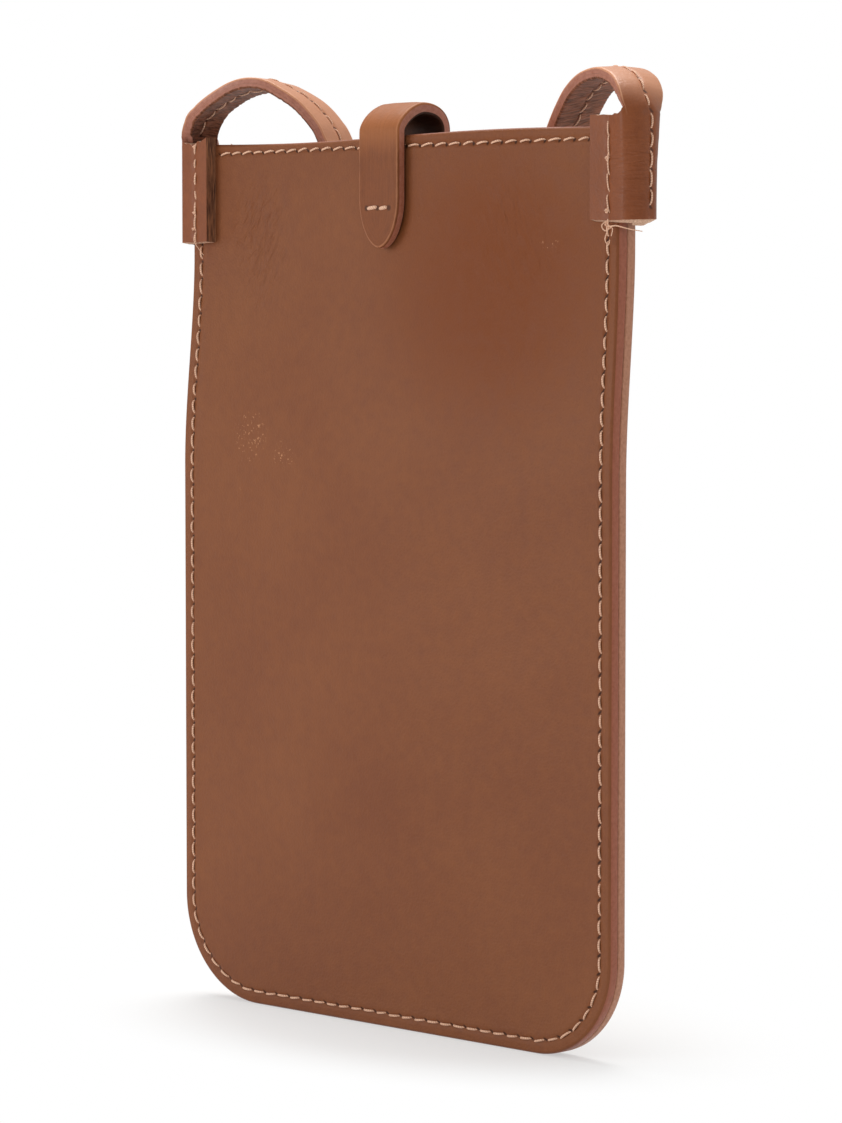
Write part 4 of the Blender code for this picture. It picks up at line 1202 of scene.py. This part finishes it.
def pulled_and_lit_share(tree, run, centre, stops):
    """Painted light and stretched leather on a bend: nothing at the first stop, full between two, and gone at
    the last.
    """
    none, full, still, gone = stops
    along = distance(tree, run[1], centre)
    start = add(tree, "MapRange", (along, none, full, 0.0, 0.85), **SMOOTH)[0]
    stop = add(tree, "MapRange", (along, gone, still), **SMOOTH)[0]
    return add(tree, "Math", (start, stop), operation="MULTIPLY")[0]


def wear_and_highlight_share(tree, run, mottle, at, on_strap):
    """A ragged pale line beside an edge: wear, and a painted highlight on the arris. On the strap it stays
    between the wraps.
    """
    off = distance(tree, distance(tree, run[0], 0.0), at)
    ragged = add(tree, "MapRange", (mottle, 0.3, 0.7, 0.10, 0.34))[0]
    wear_and_highlight = add(tree, "MapRange", (off, ragged, 0.0, 0.0, 0.55), **SMOOTH)[0]
    if not on_strap:
        return wear_and_highlight
    along = distance(tree, run[1], STRAP_LONG / 2)
    free = add(tree, "MapRange", (along, STRAP_LONG / 2 + 1, STRAP_LONG / 2 - 3))[0]
    return add(tree, "Math", (wear_and_highlight, free), operation="MULTIPLY")[0]


def slit_shade_share(tree, run, strength):
    """Painted shade in slanting slits at the ends of a row's stitches, by the distance from the nearest one's
    middle.
    """
    turn = add(tree, "Math", (run[1], PITCH / 2, -PITCH / 2), operation="WRAP")[0]
    spot = add(tree, "CombineXYZ", (run[0], turn))[0]
    spot = add(tree, "Mapping", {"Vector": spot, "Location": (0.2, 0, 0), "Rotation": (0, 0, SLIT_TURN),
                                 "Scale": (*SLIT, 1)}, vector_type="TEXTURE")[0]
    away = add(tree, "VectorMath", (spot,), operation="LENGTH")["Value"]
    return add(tree, "MapRange", (away, 1.0, 0.3, 0.0, strength), **SMOOTH)[0]


def hole_shade_share(tree, spot, centre):
    """Painted shade in a single stitch hole, three quarters of a millimetre in radius."""
    away = add(tree, "VectorMath", (spot, tuple(np.asarray(centre) + SHIFT)), operation="DISTANCE")["Value"]
    return add(tree, "MapRange", (away, 0.75, 0.35, 0.0, 0.75), **SMOOTH)[0]


def scuff_share(tree, spot, centre, size, cell, strength):
    """Flecks in a soft patch, where the surface is scratched: the peaks of a noise."""
    flecks = add(tree, "TexNoise", {"Vector": spot, "Scale": 1 / cell, "Detail": 2.0})["Fac"]
    flecks = add(tree, "MapRange", (flecks, 0.62, 0.70, 0.0, strength))[0]
    return add(tree, "Math", (nearness(tree, spot, centre, size, 0.5, 1.0), flecks), operation="MULTIPLY")[0]


print(f"slit: {2 * SLIT[0]:.2f} x {2 * SLIT[1]:.2f} mm, turned by {math.degrees(SLIT_TURN):.0f} degrees")

# %% Smooth dyed leather
PORE, MOTTLE, DRIFT = 0.55, 2.6, 34.0    # sizes of the grain and of two drifts of colour, in mm


def leather(name, colour, deep, pale, rough=0.5, row=0.0, wear_and_highlight_at=None, grain=0.05, lines=None, marks=(),
            shine=0.22, holes=(), pulled_and_lit=None, patches=(), creases=()):
    """Smooth dyed leather: a drifting base, tones over it in order, pores, fine lines and creases.

    Height is the pores, the mottle, the lines along the piece and the folds of each crease, added up.
    """
    look, tree = finish_of(name)
    spot = add(tree, "Mapping", {"Vector": add(tree, "TexCoord")["Object"], "Scale": (1000, 1000, 1000)})[0]
    run = add(tree, "SeparateXYZ", (add(tree, "UVMap", uv_map="run")[0],))
    drift = add(tree, "TexNoise", {"Vector": spot, "Scale": 1 / DRIFT, "Detail": 2.0})["Fac"]
    mottle = add(tree, "TexNoise", {"Vector": spot, "Scale": 1 / MOTTLE, "Detail": 4.0,
                                    "Roughness": 0.62})["Fac"]
    pores = add(tree, "TexVoronoi", {"Vector": spot, "Scale": 1 / PORE, "Randomness": 1.0},
                feature="F1")["Distance"]
    both = add(tree, "Math", (drift, mottle), operation="ADD")[0]
    share = add(tree, "MapRange", (both, 0.72, 1.28))[0]
    tone = add(tree, "Mix", {0: share, 6: linear(deep), 7: linear(colour)}, **COLOURS)[2]
    speck = add(tree, "MapRange", (pores, 0.05, 0.35, 0.9, 1.0))[0]
    tone = add(tree, "Mix", {0: 1.0, 6: tone, 7: speck}, blend_type="MULTIPLY", **COLOURS)[2]
    over = []
    # Painted light on the tops of bends, lit from above, where stretched leather also pales.
    if pulled_and_lit:
        over.append((pulled_and_lit_share(tree, run, *pulled_and_lit[1:]), pulled_and_lit[0]))
    for centre, size, patch_tone, strength in patches:
        over.append((nearness(tree, spot, centre, size, 0.2, strength), patch_tone))
    # A pale line by the edge: wear, and a painted highlight where the arris catches light.
    if wear_and_highlight_at:
        over.append((wear_and_highlight_share(tree, run, mottle, wear_and_highlight_at, bool(row)), pale))
    # Dark slits at the row's holes and dark single holes: painted shade in the holes.
    if row:
        over.append((slit_shade_share(tree, run, row), HOLE_SHADE))
    over += [(hole_shade_share(tree, spot, centre), HOLE_SHADE) for centre in holes]
    over += [(scuff_share(tree, spot, *mark), pale) for mark in marks]
    for share, upper in over:
        tone = add(tree, "Mix", {0: share, 6: tone, 7: linear(upper)}, **COLOURS)[2]
    gloss = add(tree, "MapRange", (mottle, 0.3, 0.7, rough - 0.05, rough + 0.06))[0]
    high = add(tree, "Math", (pores, grain), operation="MULTIPLY")[0]
    high = add(tree, "Math", (mottle, 0.10, high), operation="MULTIPLY_ADD")[0]
    if lines:
        apart, long, rise, depth = lines
        lie = add(tree, "CombineXYZ", (run[0], run[1]))[0]
        lie = add(tree, "VectorMath", (lie, (1 / apart, 1 / long, 1)), operation="MULTIPLY")[0]
        fine = add(tree, "TexNoise", {"Vector": lie, "Scale": 1.0, "Detail": 3.0})["Fac"]
        # The lines also darken the colour in their hollows and lighten it on their ridges: painted shade and
        # painted light.
        shade = add(tree, "MapRange", (fine, 0.36, 0.62, 1 - depth, 1 + 0.6 * depth))[0]
        tone = add(tree, "VectorMath", (tone, shade), operation="MULTIPLY")[0]
        high = add(tree, "Math", (fine, rise, high), operation="MULTIPLY_ADD")[0]
    for centre, size, turn, folds, deep_by in creases:
        lie = add(tree, "Mapping", {"Vector": spot, "Rotation": (0, turn, 0), "Scale": folds},
                  vector_type="TEXTURE")[0]
        fold = add(tree, "TexNoise", {"Vector": lie, "Scale": 1.0, "Detail": 1.5, "Distortion": 0.6})["Fac"]
        near = nearness(tree, spot, centre, size, 0.3, deep_by)
        high = add(tree, "Math", (fold, near, high), operation="MULTIPLY_ADD")[0]
    bump = add(tree, "Bump", {"Height": high, "Distance": 0.001, "Strength": 0.6})[0]
    feed(tree, tree.nodes["Principled BSDF"], {"Base Color": tone, "Roughness": gloss, "Normal": bump,
                                               "IOR": 1.45, "Specular IOR Level": shine})
    return look


print(f"leather: pores {PORE} mm apart, colour mottled over {MOTTLE} mm and drifting over {DRIFT} mm")

# %% [markdown]
# ## Edges, suede, tape, metal and thread
#
# Cut leather shows pale fibres and edge paint a thin, slightly uneven film. Suede, tape and the plated
# magnets are grains of another size. One function serves them, as each is two colours in small grains.
# The thread is waxed polyester of three plies. Its twist shows as fine slanting ridges, with painted light
# and shade.

# %% Fibres and thread
PLY_TURN = 0.42    # mm along the thread from ply to ply


def fibrous(name, deep, pale, rough, cell, height, stretch=(1, 1, 1), metal=0.0):
    """Cut or painted leather edges, suede, tape and metal: two colours in grains of one size, in mm."""
    look, tree = finish_of(name)
    size = tuple(1000 * v / cell for v in stretch)
    spot = add(tree, "Mapping", {"Vector": add(tree, "TexCoord")["Object"], "Scale": size})[0]
    grain = add(tree, "TexNoise", {"Vector": spot, "Scale": 1.0, "Detail": 5.0, "Roughness": 0.65})["Fac"]
    share = add(tree, "MapRange", (grain, 0.36, 0.64))[0]
    tone = add(tree, "Mix", {0: share, 6: linear(deep), 7: linear(pale)}, **COLOURS)[2]
    gloss = add(tree, "MapRange", (grain, 0, 1, rough + 0.08, rough - 0.08))[0]
    bump = add(tree, "Bump", {"Height": grain, "Distance": height * MM, "Strength": 1.0})[0]
    feed(tree, tree.nodes["Principled BSDF"], {"Base Color": tone, "Roughness": gloss, "Normal": bump,
                                               "Metallic": metal})
    return look


def waxed_thread(name, deep, pale):
    """Waxed polyester thread: the sine of the way along it plus the turn round it, as slanting ridges."""
    look, tree = finish_of(name)
    run = add(tree, "SeparateXYZ", (add(tree, "UVMap", uv_map="run")[0],))
    turn = add(tree, "Math", (run[1], 2 * np.pi / (3 * THREAD)), operation="MULTIPLY")[0]
    turn = add(tree, "Math", (run[0], 2 * np.pi / PLY_TURN, turn), operation="MULTIPLY_ADD")[0]
    ply = add(tree, "Math", (turn,), operation="SINE")[0]
    share = add(tree, "MapRange", (ply, -1.0, 0.5))[0]
    # The colour is paler on the ridges and darker between them: painted light and painted shade.
    tone = add(tree, "Mix", {0: share, 6: linear(deep), 7: linear(pale)}, **COLOURS)[2]
    bump = add(tree, "Bump", {"Height": ply, "Distance": 0.03 * MM, "Strength": 0.6})[0]
    feed(tree, tree.nodes["Principled BSDF"], {"Base Color": tone, "Normal": bump, "Roughness": 0.55})
    return look


print(f"plies: one ridge every {PLY_TURN} mm")

# %% [markdown]
# ## The finishes
#
# Each name says what the surface is. The panels are even and half matt, with fine creases and a few
# scuffs; painted shade darkens the front panel's upper right. The strap is a little glossier, with painted
# light on its bends, where stretched leather also pales, and pale arrises, as wear and painted highlight.
# The tab has fine lines along it and painted light over its arch. Inside, strap and tab are rougher: the
# tab's inside is dark with painted shade, and the strap's inside is creased across, with painted shade in
# the creases. Edge paint is smooth, the back wall's edge paler with painted light. Cut ends are matt and
# pale, paler still with painted light, cut sides dark with painted shade, and suede is the mattest.

# %% Leathers
SCUFFS = (((-38.5, 0.0, 118.5), (6.5, 9.0, 7.5), 0.6, 0.9), ((-27.5, 0.0, 115.0), (5.0, 9.0, 4.0), 0.5, 0.9),
          ((-41.3, 0.0, 107.8), (0.9, 9.0, 0.9), 0.9, 0.8), ((43.0, 0.0, 157.3), (3.2, 9.0, 1.1), 0.6, 0.7))
CREASES = (((-38.0, -5.0, 158.0), (13.0, 12.0, 22.0), math.radians(32), (1.5, 9.0, 3.6), 1.8),
           ((36.0, -5.0, 160.0), (16.0, 12.0, 20.0), math.radians(-20), (1.8, 9.0, 5.0), 0.7))
WRAP_CREASES = (((63.0, 0.0, 171.0), (7.0, 8.0, 12.0), 0.0, (6.0, 5.0, 0.75), 0.55),)
# Painted shade: the front panel is darker and warmer over its upper right, beside the tab.
PANEL_SHADE = (((30.0, 0.0, 152.0), (40.0, 30.0, 40.0), "763A10", 0.85),)
DARK = (((56.0, -6.0, 171.0), (8.0, 6.0, 16.0), "703812", 0.9),)
TAB_HOLES = [(TAB_AT + x, TAB_FRONT - TAB_THICK / 2, TAB_ROW) for x in (-3.1, 0.0, 3.1)]
# Painted light over the strap's loops and the tab's arch, where light from above falls; stretched leather
# there pales too.
PULLED_AND_LIT_STRAP = ("CE9270", STRAP_LONG / 2, tuple(STRAP_LONG / 2 - v for v in (0, 7, 40, 60)))
PULLED_AND_LIT_TAB = ("A0623A", 0.0, (40.0, 33.0, 26.0, 18.0))

panel_leather = leather("calf_panel", "834F30", "79462B", "C08A64", row=0.95, grain=0.09, marks=SCUFFS,
                        patches=PANEL_SHADE, creases=CREASES)
back_leather = leather("calf_back_panel", "834F30", "79462B", "C08A64", row=0.74)
strap_leather = leather("calf_strap", "874A27", "7A4020", "E8B08C", 0.42, row=0.78, wear_and_highlight_at=5.32, shine=0.32,
                        pulled_and_lit=PULLED_AND_LIT_STRAP, patches=DARK, creases=WRAP_CREASES)
tab_leather = leather("calf_tab", "804A2B", "744024", "B97F5C", wear_and_highlight_at=5.2, lines=(0.35, 7.0, 0.12, 0.07),
                      holes=TAB_HOLES, pulled_and_lit=PULLED_AND_LIT_TAB)
inside_leather = leather("calf_strap_inside", "885640", "76472F", "B08468", rough=0.55, row=0.78,
                         lines=(3.2, 0.5, 0.9, 0.46))
# Painted shade: the tab's inside, in the hollow under its arch, is made dark.
tab_inside_shaded = leather("calf_tab_inside_shaded", "42271A", "351E13", "A07860", rough=0.6)

print("leathers:", [look.name for look in bpy.data.materials if look.name.startswith("calf")])

# %% Edges, suede, tape, magnet and thread
front_edge = fibrous("painted_front_edge", "8A4526", "985236", 0.45, 0.8, 0.05)
# The back wall's edge paint is paler than the front's: painted light from the right.
back_edge_lit = fibrous("back_edge_paint_lit", "A06A4C", "B37C60", 0.45, 0.8, 0.05)
strap_edge = fibrous("painted_strap_edge", "9B5D45", "AB6F5A", 0.42, 0.9, 0.05)
# Cut ends: pale fibres, made paler still as painted light on faces that look down.
raw_end_lit = fibrous("raw_cut_end_lit", "9A6B50", "EAC6AA", 0.85, 0.22, 0.10, (1, 1, 0.5))
# Cut sides of the flanges: dark raw leather, darkened further with painted shade.
raw_side_shaded = fibrous("raw_cut_side_shaded", "48281A", "A06B48", 0.85, 0.42, 0.14, (1, 1, 0.10))
suede = fibrous("suede_lining", "5F4033", "765244", 0.9, 0.35, 0.10)
tape = fibrous("cotton_tape", "BFB095", "D8CBB4", 0.9, 0.5, 0.15, (1, 1, 2.5))
steel = fibrous("nickel_plated_magnet", "A9A7A2", "BDBBB6", 0.3, 0.2, 0.01, (1, 6, 1), metal=1.0)
thread = waxed_thread("tan_thread", "C9977A", "EBC0A2")
print(len(bpy.data.materials), "materials, with the solid model's own")

# %% [markdown]
# ## Putting the pouch together
#
# The pieces are made in the order of the real work: walls and linings with their seams, the tab, then
# the strap with its threads and its tie. The magnets are the solid model's own discs, between the
# leathers, and only need their finish.

# %% Walls and their seams
for side, word, looks, slot in ((-1, "front", (panel_leather, front_edge), "tan_leather"),
                                (1, "back", (back_leather, back_edge_lit), "tan_leather_back")):
    wall(side, word, looks)
for side, word, slot in ((-1, "front", "lining_leather"), (1, "back", "lining_leather_back")):
    lining(side, word, suede)
for side, word in ((-1, "front"), (1, "back")):
    seam_stitches(side, word, thread)

# %% Tab and magnets
tab(tab_leather, tab_inside_shaded, strap_edge, thread)
for node in ("tab_magnet", "front_magnet"):
    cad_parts[node].data.materials.clear()
    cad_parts[node].data.materials.append(steel)

# %% Strap, threads and tie
strap(strap_leather, inside_leather, (strap_edge, raw_end_lit, raw_side_shaded), thread)
wrap_threads(thread)
tie(tape)
